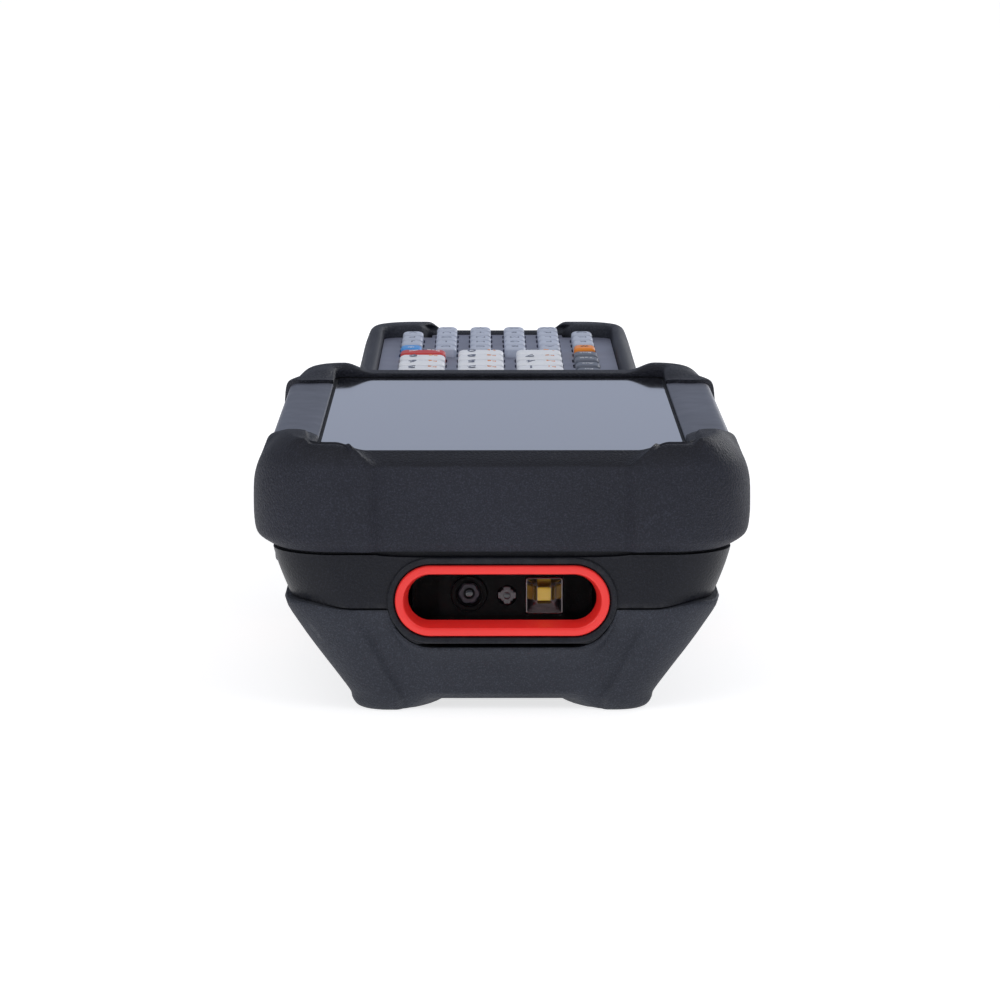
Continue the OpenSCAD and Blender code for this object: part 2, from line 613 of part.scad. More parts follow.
// The bezel's funnel narrows by the same amount all round
module funnel(l, h, y0, y1, taper) {
  straight = (l - h) / 2;
  for (sx = [-1, 1])
    translate([sx * straight, y0, scan_h]) rotate([-90, 0, 0])
      cylinder(h = y1 - y0, r1 = h / 2, r2 = h / 2 - taper);
  translate([-straight, 0, scan_h]) rotate([90, 0, 90])
    linear_extrude(height = 2 * straight)
      polygon([[y0, -h / 2], [y1, -h / 2 + taper], [y1, h / 2 - taper], [y0, h / 2]]);
}

module scan_bezel() {
  color("#eb3732") placed() difference() {
    union() {
      stadium(bezel_l, bezel_h, bezel_front, 3.3);
      stadium(bezel_l - 1.4, bezel_h - 1.4, 3, window_front + 1.5);
    }
    funnel(bezel_l - 2 * bezel_ring, bezel_h - 2 * bezel_ring, bezel_front, window_front, 0.7);
    stadium(bezel_l - 2.6, bezel_h - 2.6, window_front - 0.01, 9);
  }
}

module scan_window() {
  color("#3a3f4d") placed() stadium(bezel_l - 2.7, bezel_h - 2.7, window_front, window_front + 1.2);
}

imager_x = -5.5;
imager_z = 19.6;
aimer_x = 0.8;
lamp_x = 7;
engine_front = 7.7;

module engine_housing() {
  color("#1b1c20") placed() difference() {
    union() {
      translate([-15, engine_front + 2.5, 11]) cube([30, 15.5, 16]);
      translate([-10.5, engine_front, 14.6]) cube([21, 3, 9.4]);
    }
    translate([imager_x, engine_front - 1, imager_z]) rotate([-90, 0, 0]) cylinder(h = 9, d = 6.2);
    translate([aimer_x, engine_front - 1, 19.3]) rotate([-90, 0, 0]) cylinder(h = 6, d = 3.4);
    translate([lamp_x - 3.15, engine_front - 1, 16.1]) cube([6.3, 5, 6.3]);
  }
}

module imager_lens() {
  color("#30343c") placed() translate([imager_x, engine_front - 0.4, imager_z]) rotate([-90, 0, 0])
    difference() {
      cylinder(h = 7, d = 6);
      translate([0, 0, -0.1]) cylinder(h = 1.1, d1 = 4.6, d2 = 2.2);
    }
}

module aimer_lens() {
  color("#aab4c0") placed() translate([aimer_x, engine_front - 0.3, 19.3]) {
    rotate([-90, 0, 0]) cylinder(h = 4, d = 1.8);
    for (a = [0, 90]) rotate([0, a, 0]) translate([-1.4, 0, -0.45]) cube([2.8, 2, 0.9]);
  }
}

module illuminator() {
  color("#c9ccd2") placed() translate([lamp_x, engine_front - 0.4, 19.25]) difference() {
    translate([-3.1, 0, -3.1]) cube([6.2, 3.4, 6.2]);
    translate([0, -0.1, 0]) rotate([-90, 0, 0]) cylinder(h = 2.4, d1 = 5.4, d2 = 3.2);
  }
}

module illuminator_led() {
  color("#e3c94a") placed() translate([lamp_x - 1.1, engine_front + 1.3, 18.15]) cube([2.2, 0.6, 2.2]);
}

// ---- Underside ----
module rear_camera() {
  color("#17181b") placed() translate([0, camera_depth, belly_head + 0.2]) difference() {
    union() {
      cylinder(h = 8, d = camera_d);
      translate([0, 0, 2.5]) cylinder(h = 1.5, d = camera_d + 3.2);
    }
    translate([0, 0, -0.1]) cylinder(h = 1, d = 11);
    translate([0, 0, -0.1]) cylinder(h = 3, d = 5);
  }
}

module speaker() {
  color("#24262b") placed() plate(20, speaker_depth - 8, speaker_depth + 8, 9.2, 13.5, 3);
}

module strap_inserts() {
  color("#c9a227") placed()
    for (x = [-strap_x, strap_x]) translate([x, strap_depth, belly_grip - 0.2]) difference() {
      cylinder(h = 5, d = 5);
      translate([0, 0, -1]) cylinder(h = 5, d = 2.5);
    }
}

// One case screw, head down, with a hex socket
module screw(l) {
  difference() {
    union() {
      cylinder(h = 1, d = 4.8);
      cylinder(h = l, d = 2);
    }
    translate([0, 0, -0.1]) cylinder(h = 0.8, d = 2.2, $fn = 6);
  }
}

module case_screws() {
  color("#8d9096") placed() for (x = [-1, 1]) {
    translate([x * front_post_x, post_depths[0], belly_head + 0.1]) screw(12);
    translate([x * post_x, post_depths[1], belly_grip + 0.1]) screw(12);
    translate([x * frame_post_x, frame_post_depth, belly_grip + 0.1]) screw(12);
  }
}

module battery_pack() {
  color("#2c2e36") placed() union() {
    plate(battery_w, battery_front, battery_rear, belly_grip - 0.2, 27, 3);
    for (d = [14, 17]) translate([-8, battery_rear - d, 7.3]) cube([16, 1.2, 0.6]);
  }
}

module battery_latch() {
  color("#5c6069") placed() {
    plate(latch_w, latch_front, latch_front + latch_l, belly_grip + 0.1, 12, 1.5);
    for (i = [0:2]) translate([-5, latch_front + 1.4 + 1.4 * i, belly_grip - 0.4]) cube([10, 0.6, 0.8]);
  }
}

module dock_connector() {
  color("#17181b") placed() difference() {
    translate([-dock_w / 2, body_l - 9, dock_z - dock_h / 2]) cube([dock_w, 7.6, dock_h]);
    for (i = [-3:3]) translate([2.7 * i - 0.8, body_l - 2.2, dock_z - 1.6]) cube([1.6, 2, 3.2]);
  }
}

// ---- Side keys ----
module side_key(l) {
  rotate([0, 90, 0]) {
    translate([0, 0, -5.1]) linear_extrude(height = 6.3) round_rect(side_key_h, l, 2);
    translate([0, 0, -6.2]) linear_extrude(height = 1.2) round_rect(side_key_h + 2, l + 2, 2);
  }
}

module right_trigger() {
  color("#e08a2e") placed() translate([side_key_x, trigger_depth, side_key_z]) side_key(trigger_l);
}

module left_trigger() {
  color("#e08a2e") placed() mirror([1, 0, 0])
    translate([side_key_x, trigger_depth, side_key_z]) side_key(trigger_l);
}

module volume_rocker() {
  color("#24262b") placed() difference() {
    mirror([1, 0, 0]) translate([side_key_x, rocker_depth, side_key_z])
      rotate([0, 90, 0]) translate([0, 0, -3.6]) linear_extrude(height = 4.7)
        round_rect(side_key_h, rocker_l - 0.6, 2);
    rocker_pivot(rocker_bore_d, 2 * side_key_h);
  }
}

// ---- Keypad ----
// Each key is [x, depth, width, length, top height]
letter_w = 4.4;
letter_l = 6;
row_depths = [for (i = [0:4]) 221.1 - i * row_pitch];
letter_x = [for (i = [-2.5:2.5]) i * letter_pitch];
number_depths = [178, 169.4, 160, 150.6];
number_x = [-15.5, -3.55, 8.4];
number_w = 9.3;
side_x = 18.1;
side_w = 4.9;
nav_depth = 133.6;
plate_bottom = 36.95;
plate_rear = body_l - 14.7;
board_top = dome_top - 0.4;
board_t = 1;

function letter_keys(row) =
  let (first = row == 0 || row == 4 ? 1 : 0)
  [for (c = [first:5 - first]) [letter_x[c], row_depths[row], letter_w, letter_l, key_top]];
function number_key(i) =
  [number_x[(i - 1) % 3], number_depths[floor((i - 1) / 3)], number_w, letter_l, key_top + 0.4];
function dark_key(i) = [side_x, number_depths[i - 1], side_w, letter_l, key_top - 0.2];
blue_place = [letter_x[0], row_depths[4], letter_w, letter_l, key_top];
orange_place = [letter_x[5], row_depths[4], letter_w, letter_l, key_top];
scan_place = [0, nav_depth, 15, 8, key_top + 0.6];
// Up is towards the display, and the user's left is +X
nav_step = 7.9;
nav_half_w = 12.6;
up_place = [0, nav_depth - nav_step, 11, 5, key_top];
down_place = [0, nav_depth + nav_step, 11, 5, key_top];
left_place = [nav_half_w, nav_depth, 7, 9, key_top];
right_place = [-nav_half_w, nav_depth, 7, 9, key_top];
power_place = [19.6, nav_depth + 7.4, 5, 5, key_top - 0.4];
all_places = concat([for (r = [0:4]) each letter_keys(r)], [for (i = [1:12]) number_key(i)],
  [for (i = [1:4]) dark_key(i)], [blue_place, orange_place, scan_place, up_place, down_place,
  left_place, right_place, power_place]);

// A key with a crowned top, standing on a flange that stays under the plate
module key(place) {
  translate([place[0], place[1], 0]) {
    intersection() {
      translate([0, 0, key_foot]) linear_extrude(height = place[4] - key_foot)
        round_rect(place[2], place[3], 1.1);
      translate([0, place[3], place[4] - 2 * place[2]]) rotate([90, 0, 0])
        cylinder(h = 2 * place[3], r = 2 * place[2], $fn = 96);
    }
    translate([0, 0, key_foot]) linear_extrude(height = 0.7)
      round_rect(place[2] + 1.3, place[3] + 1.3, 1.1);
  }
}

module keypad_plate() {
  color("#6b7080") placed() difference() {
    union() {
      plate(plate_w, head_l + 3, plate_rear, plate_bottom, plate_h, 3.4);
      plate(2 * bay_half_w - 1, body_l - 30, plate_rear + bay_l, plate_bottom, plate_h, 1.5);
    }
    for (p = all_places) translate([p[0], p[1], 36])
      linear_extrude(height = 3) round_rect(p[2] + 2 * key_gap, p[3] + 2 * key_gap, 1.3);
  }
}

module keypad_board() {
  color("#2f5d3a") placed() union() {
    plate(47.6, head_l + 3.4, plate_rear - 0.5, board_top - board_t, board_top, 3);
    plate(2 * bay_half_w - 2, body_l - 30, body_l - 11, board_top - board_t, board_top, 1.5);
    for (p = all_places) translate([p[0], p[1], dome_top - 0.5]) cylinder(h = 0.5, d = 3.6);
  }
}

module number_key_part(i) {
  color("#dfe2e8") placed() key(number_key(i));
}

module dark_key_part(i) {
  color("#4a4e59") placed() key(dark_key(i));
}

module letter_row_part(row) {
  color("#9aa2b3") placed() for (p = letter_keys(row)) key(p);
}

module key_1() { color("#d2423c") placed() key(number_key(1)); }
module blue_key() { color("#3f6fc0") placed() key(blue_place); }
module orange_key() { color("#e08a2e") placed() key(orange_place); }
module scan_key() { color("#e08a2e") placed() key(scan_place); }
module up_key() { color("#4a4e59") placed() key(up_place); }
module down_key() { color("#4a4e59") placed() key(down_place); }
module left_key() { color("#4a4e59") placed() key(left_place); }
module right_key() { color("#4a4e59") placed() key(right_place); }
module power_key() { color("#d2423c") placed() key(power_place); }

nose_bumper();
rear_bumper();
left_rail();
right_rail();
head_shell();
lower_cover();
keypad_frame();
keypad_plate();
keypad_board();
touch_glass();
display_gasket();
lcd_module();
chassis_frame();
main_board();
scan_bezel();
scan_window();
engine_housing();
imager_lens();
aimer_lens();
illuminator();
illuminator_led();
rear_camera();
speaker();
battery_pack();
battery_latch();
dock_connector();
case_screws();
strap_inserts();
left_trigger();
right_trigger();
volume_rocker();
key_1();
for (i = [2:12])
  number_key_part(i);
for (i = [1:4])
  dark_key_part(i);
for (i = [1:5])
  letter_row_part(i - 1);
blue_key();
orange_key();
scan_key();
up_key();
down_key();
left_key();
right_key();
power_key();
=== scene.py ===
"""Looks of a rugged handheld mobile computer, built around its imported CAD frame.

Shell formulas work in millimetres, with "depth" as the distance behind the foremost face of the nose.
Meshes are written in metres in the frame of the CAD model.
"""
import json
import math

import bmesh
import bpy
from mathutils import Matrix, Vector


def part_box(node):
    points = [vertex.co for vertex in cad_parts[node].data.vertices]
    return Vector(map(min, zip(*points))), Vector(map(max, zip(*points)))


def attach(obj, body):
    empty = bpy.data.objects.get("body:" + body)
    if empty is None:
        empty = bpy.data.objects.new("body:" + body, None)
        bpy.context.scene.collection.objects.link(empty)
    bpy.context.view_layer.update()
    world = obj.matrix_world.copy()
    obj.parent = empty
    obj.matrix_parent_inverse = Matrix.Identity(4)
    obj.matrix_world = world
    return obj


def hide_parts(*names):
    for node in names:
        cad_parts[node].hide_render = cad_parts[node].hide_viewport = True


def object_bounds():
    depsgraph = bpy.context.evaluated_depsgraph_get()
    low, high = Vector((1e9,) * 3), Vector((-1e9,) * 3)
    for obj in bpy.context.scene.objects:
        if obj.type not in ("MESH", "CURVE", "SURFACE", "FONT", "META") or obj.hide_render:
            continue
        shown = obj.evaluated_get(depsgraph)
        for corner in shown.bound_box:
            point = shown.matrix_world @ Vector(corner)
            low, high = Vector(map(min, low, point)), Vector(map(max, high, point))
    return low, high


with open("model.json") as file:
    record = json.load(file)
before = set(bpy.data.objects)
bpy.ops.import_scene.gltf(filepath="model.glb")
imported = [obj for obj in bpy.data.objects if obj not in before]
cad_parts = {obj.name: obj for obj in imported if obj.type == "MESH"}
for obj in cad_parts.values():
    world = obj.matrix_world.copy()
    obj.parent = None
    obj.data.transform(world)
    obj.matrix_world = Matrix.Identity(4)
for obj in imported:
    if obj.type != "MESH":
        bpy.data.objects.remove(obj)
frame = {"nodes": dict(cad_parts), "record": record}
cad_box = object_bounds()

MM = 0.001
SHARP_DEG = 38.0
NOSE_Y = cad_box[0][1]
BODY_L = (cad_box[1][1] - cad_box[0][1]) / MM
MOVING = {node: body for body, nodes in frame["record"]["behaviour"]["bodies"].items() for node in nodes}
NODE_SLOT = {part["node"]: part["material_slot"] for part in frame["record"]["subparts"]}


# ---------------- small maths
def mix(a, b, t):
    return a + (b - a) * t


def ease(a, b, v):
    t = min(1.0, max(0.0, (v - a) / (b - a)))
    return t * t * (3 - 2 * t)


def mix_rows(a, b, t):
    return [(mix(p[0], q[0], t), mix(p[1], q[1], t)) for p, q in zip(a, b)]


def loop_of(*verts):
    """The vertices without repeats, so that a quad on the centre line becomes a triangle."""
    return [v for k, v in enumerate(verts) if v not in verts[:k]]


def smooth_row(row, steps):
    """A Catmull-Rom curve through a row's points, which keeps each of them."""
    out = []
    last = len(row) - 1
    for i in range(last):
        p = [row[max(i - 1, 0)], row[i], row[i + 1], row[min(i + 2, last)]]
        chord = [max(1e-6, (p[k + 1] - p[k]).length) ** 0.5 for k in range(3)]
        for k in range(steps):
            t = chord[1] * k / steps
            a1 = p[0].lerp(p[1], (t + chord[0]) / chord[0])
            a2 = p[1].lerp(p[2], t / chord[1])
            a3 = p[2].lerp(p[3], (t - chord[1]) / chord[2])
            b1 = a1.lerp(a2, (t + chord[0]) / (chord[0] + chord[1]))
            b2 = a2.lerp(a3, t / (chord[1] + chord[2]))
            out.append(b1.lerp(b2, t / chord[1]))
    out.append(row[-1])
    return out


def resampled(row, count):
    """The same polyline with its points evenly spaced."""
    at = [0.0]
    for p, q in zip(row, row[1:]):
        at.append(at[-1] + (q - p).length)
    out = []
    k = 0
    for i in range(count):
        want = at[-1] * i / (count - 1)
        while k < len(row) - 2 and at[k + 1] < want:
            k += 1
        out.append(row[k].lerp(row[k + 1], (want - at[k]) / max(1e-9, at[k + 1] - at[k])))
    return out


def spread(stops, gap):
    """The stops with evenly spaced ones added, none further apart than gap."""
    out = [stops[0]]
    for a, b in zip(stops, stops[1:]):
        n = max(1, math.ceil((b - a) / gap))
        out += [mix(a, b, k / n) for k in range(1, n + 1)]
    return out


def arc(start, sweep, steps):
    """Angles in radians, evenly spaced along an arc given in degrees, both ends included."""
    return [math.radians(start + sweep * k / steps) for k in range(steps + 1)]


def full_turn(steps):
    return [2 * math.pi * k / steps for k in range(steps)]


def outline(s, w, y0, y1, rf, rr):
    """A round-cornered outline. s runs 0-1 along the front, 1-2 corner, 2-3 side, 3-4 corner, 4-5 rear."""
    if s < 1:
        return s * (w - rf), y0
    if s < 2:
        a = math.radians((s - 1) * 90)
        return w - rf + rf * math.sin(a), y0 + rf - rf * math.cos(a)
    if s < 3:
        return w, mix(y0 + rf, y1 - rr, s - 2)
    if s < 4:
        a = math.radians((s - 3) * 90)
        return w - rr + rr * math.cos(a), y1 - rr + rr * math.sin(a)
    return (5 - s) * (w - rr), y1


# ---------------- mesh helpers
def to_frame(p):
    return Vector((p[0] * MM, NOSE_Y + p[1] * MM, p[2] * MM))


def new_object(name, mesh):
    obj = bpy.data.objects.new(name, mesh)
    bpy.context.scene.collection.objects.link(obj)
    return obj


def mesh_object(name, bm):
    mesh = bpy.data.meshes.new(name)
    bm.to_mesh(mesh)
    bm.free()
    return new_object(name, mesh)


def mark_sharp(bm, sharp_deg):
    limit = math.radians(sharp_deg)
    for face in bm.faces:
        face.smooth = True
    for edge in bm.edges:
        edge.smooth = len(edge.link_faces) == 2 and edge.calc_face_angle(0) < limit


def finish_mesh(name, bm, sharp_deg=SHARP_DEG):
    """Turns a closed bmesh into an object, smooth shaded with its sharp edges marked."""
    bmesh.ops.recalc_face_normals(bm, faces=bm.faces)
    mark_sharp(bm, sharp_deg)
    return mesh_object(name, bm)


def flipped(row):
    return [Vector((-p.x, p.y, p.z)) for p in row]


def full_ring(half):
    return half + [flipped(r) for r in half[-2:0:-1]]


def add_grid(bm, rows, closed):
    """Adds a grid of quads and returns its vertices, row by row."""
    verts = [[bm.verts.new(to_frame(p)) for p in row] for row in rows]
    count = len(rows) if closed else len(rows) - 1
    for i in range(count):
        a, b = verts[i], verts[(i + 1) % len(rows)]
        for j in range(len(a) - 1):
            bm.faces.new((a[j], b[j], b[j + 1], a[j + 1]))
    return verts


def join_edges(bm, a, b, closed):
    count = len(a) if closed else len(a) - 1
    for i in range(count):
        k = (i + 1) % len(a)
        bm.faces.new((a[i], b[i], b[k], a[k]))


def wall_mesh(name, outer, inner, closed):
    """A closed wall between an outer and an inner skin of rows."""
    inner = [resampled(row, len(outer[0])) for row in inner]
    bm = bmesh.new()
    out = add_grid(bm, outer, closed)
    inn = add_grid(bm, inner, closed)
    join_edges(bm, [r[0] for r in out], [r[0] for r in inn], closed)
    join_edges(bm, [r[-1] for r in out], [r[-1] for r in inn], closed)
    if not closed:
        join_edges(bm, out[0], inn[0], False)
        join_edges(bm, out[-1], inn[-1], False)
    return finish_mesh(name, bm)


def detail(obj, mat, body):
    """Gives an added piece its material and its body."""
    obj.data.materials.clear()
    obj.data.materials.append(mat)
    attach(obj, body)


def show(obj, mat, node):
    """Gives a piece the looks and body of the node that it stands for, and hides that node."""
    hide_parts(node)
    detail(obj, mat, MOVING[node])


# ---------------- materials
def srgb(r, g, b):
    def linear(c):
        c /= 255
        return c / 12.92 if c <= 0.04045 else ((c + 0.055) / 1.055) ** 2.4
    return (linear(r), linear(g), linear(b), 1.0)


def grey(level):
    return (level, level, level, 1)


def shade(color, factor):
    return tuple(min(1.0, c * factor) for c in color[:3]) + (1.0,)


def set_inputs(node, values):
    for name, value in values.items():
        node.inputs[name].default_value = value


MATERIALS = {}


class Surface:
    """A new Principled material, with what its node tree is built from."""

    def __init__(self, name, values):
        self.mat = MATERIALS[name] = bpy.data.materials.new(name)
        self.mat.use_nodes = True
        self.tree = self.mat.node_tree
        self.link = self.tree.links.new
        self.bsdf = self.tree.nodes["Principled BSDF"]
        set_inputs(self.bsdf, values)
        self.coords = self.node("TexCoord").outputs["Object"]

    def node(self, kind, values=(), **settings):
        node = self.tree.nodes.new("ShaderNode" + kind)
        set_inputs(node, dict(values))
        for name, value in settings.items():
            setattr(node, name, value)
        return node

    def noise(self, scale, levels=3.0, roughness=0.55):
        noise = self.node("TexNoise", {"Scale": scale, "Detail": levels, "Roughness": roughness})
        self.link(self.coords, noise.inputs["Vector"])
        return noise.outputs["Fac"]

    def ramp(self, source, *stops):
        return ramp(self.tree, source, stops)

    def multiplied(self, a, b):
        node = self.node("Mix", {"Factor": 1.0}, data_type="RGBA", blend_type="MULTIPLY", clamp_result=False)
        self.link(a, node.inputs["A"])
        self.link(b, node.inputs["B"])
        return node.outputs["Result"]

    def set_gloss(self, noise_scale, low, high):
        """Smears the roughness unevenly between two levels."""
        gloss = self.node("MapRange", {"To Min": low, "To Max": high})
        self.link(self.noise(noise_scale, 4.0), gloss.inputs["Value"])
        self.link(gloss.outputs["Result"], self.bsdf.inputs["Roughness"])


def ramp(tree, source, stops):
    node = tree.nodes.new("ShaderNodeValToRGB")
    for element, (position, color) in zip(node.color_ramp.elements, stops):
        element.position = position
        element.color = color
    tree.links.new(source, node.inputs["Fac"])
    return node.outputs["Color"]


BLOTCH_SCALE, GLINT_SPECKLE_SCALE, SCUFF_SCALE, SMEAR_SCALE = 55.0, 4200.0, 420.0, 160.0
WORN_LEVEL, WORN_SHARE = 0.3, 0.35


def moulded(name, rgb, rough=0.5, grain=0.0, grain_scale=2600.0, vary=0.12, rough_vary=0.08,
            wear=0.0, metallic=0.0, coat=0.0, specular=0.5, depth=0.00012, painted_top_shade=0.0, speckle_and_glint=0.0):
    """Moulded plastic or rubber: blotchy, unevenly glossy, finely grained, with rubbed edges; it can carry
    speckles painted as the grain's glints and shade, and painted shade on its upward faces.
    """
    color = srgb(*rgb)
    s = Surface(name, {"Metallic": metallic, "Specular IOR Level": specular, "Coat Weight": coat,
                       "Coat Roughness": 0.08})
    result = s.ramp(s.noise(BLOTCH_SCALE), (0.3, shade(color, 1 - vary)), (0.72, shade(color, 1 + vary)))
    geometry = s.node("NewGeometry")
    # Painted glints and shade of the grain: a fine speckle of lighter and darker spots multiplied into the
    # base colour.
    if speckle_and_glint:
        glint_speckles = s.ramp(s.noise(GLINT_SPECKLE_SCALE, 1.0, 0.5), (0.5, grey(1 - 0.35 * speckle_and_glint)),
                       (0.68, grey(1 + speckle_and_glint)))
        result = s.multiplied(result, glint_speckles)
    # Painted shade: faces whose normals point upwards get a darker base colour, for the dimmer light on top
    # slopes.
    if painted_top_shade:
        axes = s.node("SeparateXYZ")
        s.link(geometry.outputs["Normal"], axes.inputs["Vector"])
        result = s.multiplied(result, s.ramp(axes.outputs["Z"], (0.25, grey(1)), (0.7, grey(1 - painted_top_shade))))
    if wear:
        both = s.node("Math", operation="MULTIPLY")
        s.link(s.ramp(geometry.outputs["Pointiness"], (0.515, grey(0)), (0.58, grey(1))), both.inputs[0])
        s.link(s.ramp(s.noise(SCUFF_SCALE, 5.0, 0.7), (0.42, grey(0)), (0.66, grey(wear))), both.inputs[1])
        blend = s.node("Mix", data_type="RGBA")
        s.link(both.outputs[0], blend.inputs["Factor"])
        s.link(result, blend.inputs["A"])
        blend.inputs["B"].default_value = tuple(mix(c, WORN_LEVEL, WORN_SHARE) for c in color[:3]) + (1.0,)
        result = blend.outputs["Result"]
    s.link(result, s.bsdf.inputs["Base Color"])
    s.set_gloss(SMEAR_SCALE, max(0.02, rough - rough_vary), min(1.0, rough + rough_vary))
    if grain:
        bump = s.node("Bump", {"Strength": grain, "Distance": depth})
        s.link(s.noise(grain_scale, 2.0, 0.6), bump.inputs["Height"])
        s.link(bump.outputs["Normal"], s.bsdf.inputs["Normal"])
    return s.mat


def clear_plastic(name, color, rough, ior, transmission, alpha=1.0, specular=0.5):
    s = Surface(name, {"Base Color": color, "IOR": ior, "Specular IOR Level": specular,
                       "Transmission Weight": transmission, "Alpha": alpha})
    s.set_gloss(90.0, rough, rough + 0.03)
    return s.mat


# The rubber's upward faces are darkened as painted shade, and the rubber, grip and shell mouldings carry
# speckles painted as the grain's glints and shade.
RUBBER = moulded("bumper_rubber", (39, 41, 51), rough=0.58, grain=1.0, grain_scale=2200.0, wear=0.04,
                 specular=0.22, depth=0.0003, painted_top_shade=0.3, speckle_and_glint=0.5)
GRIP = moulded("grip_rubber", (50, 53, 62), rough=0.62, grain=1.0, grain_scale=2200.0, wear=0.3,
               specular=0.22, depth=0.00025, speckle_and_glint=0.4)
RAIL = moulded("rail_plastic", (66, 69, 82), rough=0.4, grain=0.12, grain_scale=1800.0, wear=0.3,
               specular=0.45)
SHELL = moulded("shell_plastic", (24, 26, 34), rough=0.4, grain=0.5, grain_scale=2400.0, wear=0.2,
                specular=0.22, depth=0.0002, speckle_and_glint=0.5)
moulded("plate_plastic", (114, 118, 138), rough=0.42, grain=0.2, grain_scale=2200.0)
moulded("circuit_board", (28, 84, 48), rough=0.4, grain=0.2, grain_scale=900.0)
moulded("gasket_foam", (20, 20, 23), rough=0.85, grain=0.6)
moulded("display_panel", (22, 24, 30), rough=0.15)
moulded("chassis_metal", (178, 180, 184), rough=0.45, metallic=1.0, grain=0.3)
RED = moulded("red_bezel", (242, 50, 46), rough=0.34, grain=0.08, vary=0.05)
BLACK = moulded("engine_black", (4, 4, 5), rough=0.55, grain=0.25, specular=0.1)
BLACK_SATIN = moulded("cap_grey", (44, 38, 50), rough=0.4, specular=0.4)
AIMER = moulded("aimer_clear", (62, 56, 62), rough=0.12, coat=0.6)
LENS = moulded("lens_dark", (24, 28, 38), rough=0.08, coat=1.0)
REFLECTOR = moulded("reflector", (126, 118, 120), rough=0.1, metallic=1.0)
LED = moulded("led_yellow", (236, 205, 60), rough=0.25, coat=0.6)
BATTERY = moulded("battery_plastic", (46, 48, 57), rough=0.52, grain=0.4, wear=0.3)
LATCH = moulded("latch_plastic", (92, 96, 108), rough=0.42, grain=0.15, wear=0.3)
moulded("screw_steel", (150, 152, 158), rough=0.32, metallic=1.0)
moulded("insert_brass", (196, 160, 82), rough=0.3, metallic=1.0)
TRIGGER = moulded("trigger_orange", (222, 122, 34), rough=0.5, grain=0.35)
ROCKER = moulded("rocker_dark", (44, 46, 55), rough=0.55, grain=0.35)
KEY_FINISH = {"rough": 0.46, "grain": 0.18}
KEY_WHITE = moulded("key_white", (235, 238, 245), **KEY_FINISH, vary=0.04)
KEY_GREY = moulded("key_grey", (185, 193, 212), **KEY_FINISH, vary=0.05)
KEY_DARK = moulded("key_dark", (92, 99, 114), **KEY_FINISH)
KEY_RED = moulded("key_red", (196, 52, 52), **KEY_FINISH, vary=0.06)
KEY_BLUE = moulded("key_blue", (70, 150, 225), **KEY_FINISH, vary=0.06)
KEY_ORANGE = moulded("key_orange", (240, 140, 40), **KEY_FINISH, vary=0.06)
INK_DARK = moulded("ink_dark", (40, 42, 52), rough=0.5)
INK_LIGHT = moulded("ink_light", (226, 228, 232), rough=0.5)
INK_GREY = moulded("ink_grey", (110, 118, 138), rough=0.5)
INK_ORANGE = moulded("ink_orange", (226, 148, 88), rough=0.5)
moulded("display_glass", (14, 15, 19), rough=0.035, rough_vary=0.012, coat=1.0, vary=0.3)
clear_plastic("window_clear", (0.005, 0.005, 0.007, 1.0), 0.02, 1.3, 0.0, 0.05, 0.1)
clear_plastic("lens_clear", (0.85, 0.9, 0.97, 1.0), 0.05, 1.5, 0.7)

# The four slots whose material has another name.
RENAMED = {"rubber": "bumper_rubber", "board": "circuit_board", "panel": "display_panel",
           "frame_metal": "chassis_metal"}
# Every CAD node gets its slot's material; the ones replaced below are hidden anyway.
for cad_node, cad_object in frame["nodes"].items():
    cad_object.data.materials.clear()
    cad_slot = NODE_SLOT[cad_node]
    cad_object.data.materials.append(MATERIALS[RENAMED.get(cad_slot, cad_slot)])


# ---------------- sizes
RAIL_W, BUMPER_W, VIEW_W = 78.8, 83.0, 62.0
HEAD_L, VIEW_FRONT, VIEW_REAR = 118.0, 6.5, 108.0
PAD_H, BUMPER_BOTTOM, SHELL_TOP, SEAM_H = 46.05, 27.6, 27.5, 19.0
FRONT_CORNER, REAR_CORNER, GLASS_CORNER, GLASS_REAR_CORNER = 15.0, 10.0, 2.0, 2.2
BORDER_W, BORDER_PROUD, BORDER_SUNK = 0.55, 0.02, 0.03
PROUD, BAR_SETBACK, FRONT_JOINT, REAR_JOINT, JOINT_GAP = 0.6, 1.5, 20.0, 94.0, 0.4
SHELL_FRONT, LOWER_FRONT, FRONT_LEAN, HEAD_CORNER = 2.7, 1.9, 0.19, 9.3
GRIP_HALF, BELLY_HEAD, BELLY_GRIP, WALL = 29.4, 1.3, 8.0, 2.0
GRIP_SEAM_W = GRIP_HALF - 1
HEEL_FRONT = BODY_L - 22
SCAN_H, BEZEL_L, BEZEL_H = 19.3, 35.5, 11.8


# ---------------- head ring
# Each profile point is [share of the way from the glass to the outer face, height].
BAR_PROFILE = [(0, 43.35), (0, 43.75), (0.06, 43.9), (0.3, 43.5), (0.62, 42.9), (0.9, 42.2),
               (0.985, 41.8), (1, 41.2), (1, 36), (1, 31), (0.97, 28.8), (0.85, BUMPER_BOTTOM)]
PAD_PROFILE = [(0, 43.35), (0, 44.8), (0.05, 45.1), (0.12, 45.35), (0.18, PAD_H), (0.47, PAD_H),
               (0.84, 42.6), (0.94, 40.6), (1, 37.8), (1, 31.5), (0.94, 29), (0.74, BUMPER_BOTTOM)]
RAIL_PROFILE = [(0, 43.35), (0, 43.75), (0.07, 44), (0.18, 44.2), (0.5, 44.3), (0.84, 44.1),
                (0.95, 43.2), (1, 41), (1, 37), (0.97, 32), (0.93, 29), (0.86, BUMPER_BOTTOM)]
REAR_PAD_PROFILE = [(0, 43.35), (0, 44.9), (0.05, 45.3), (0.15, 45.65), (0.38, 45.6), (0.58, 44.9),
                    (0.82, 42.6), (0.94, 40.4), (1, 37.6), (1, 32), (0.95, 29), (0.8, BUMPER_BOTTOM)]
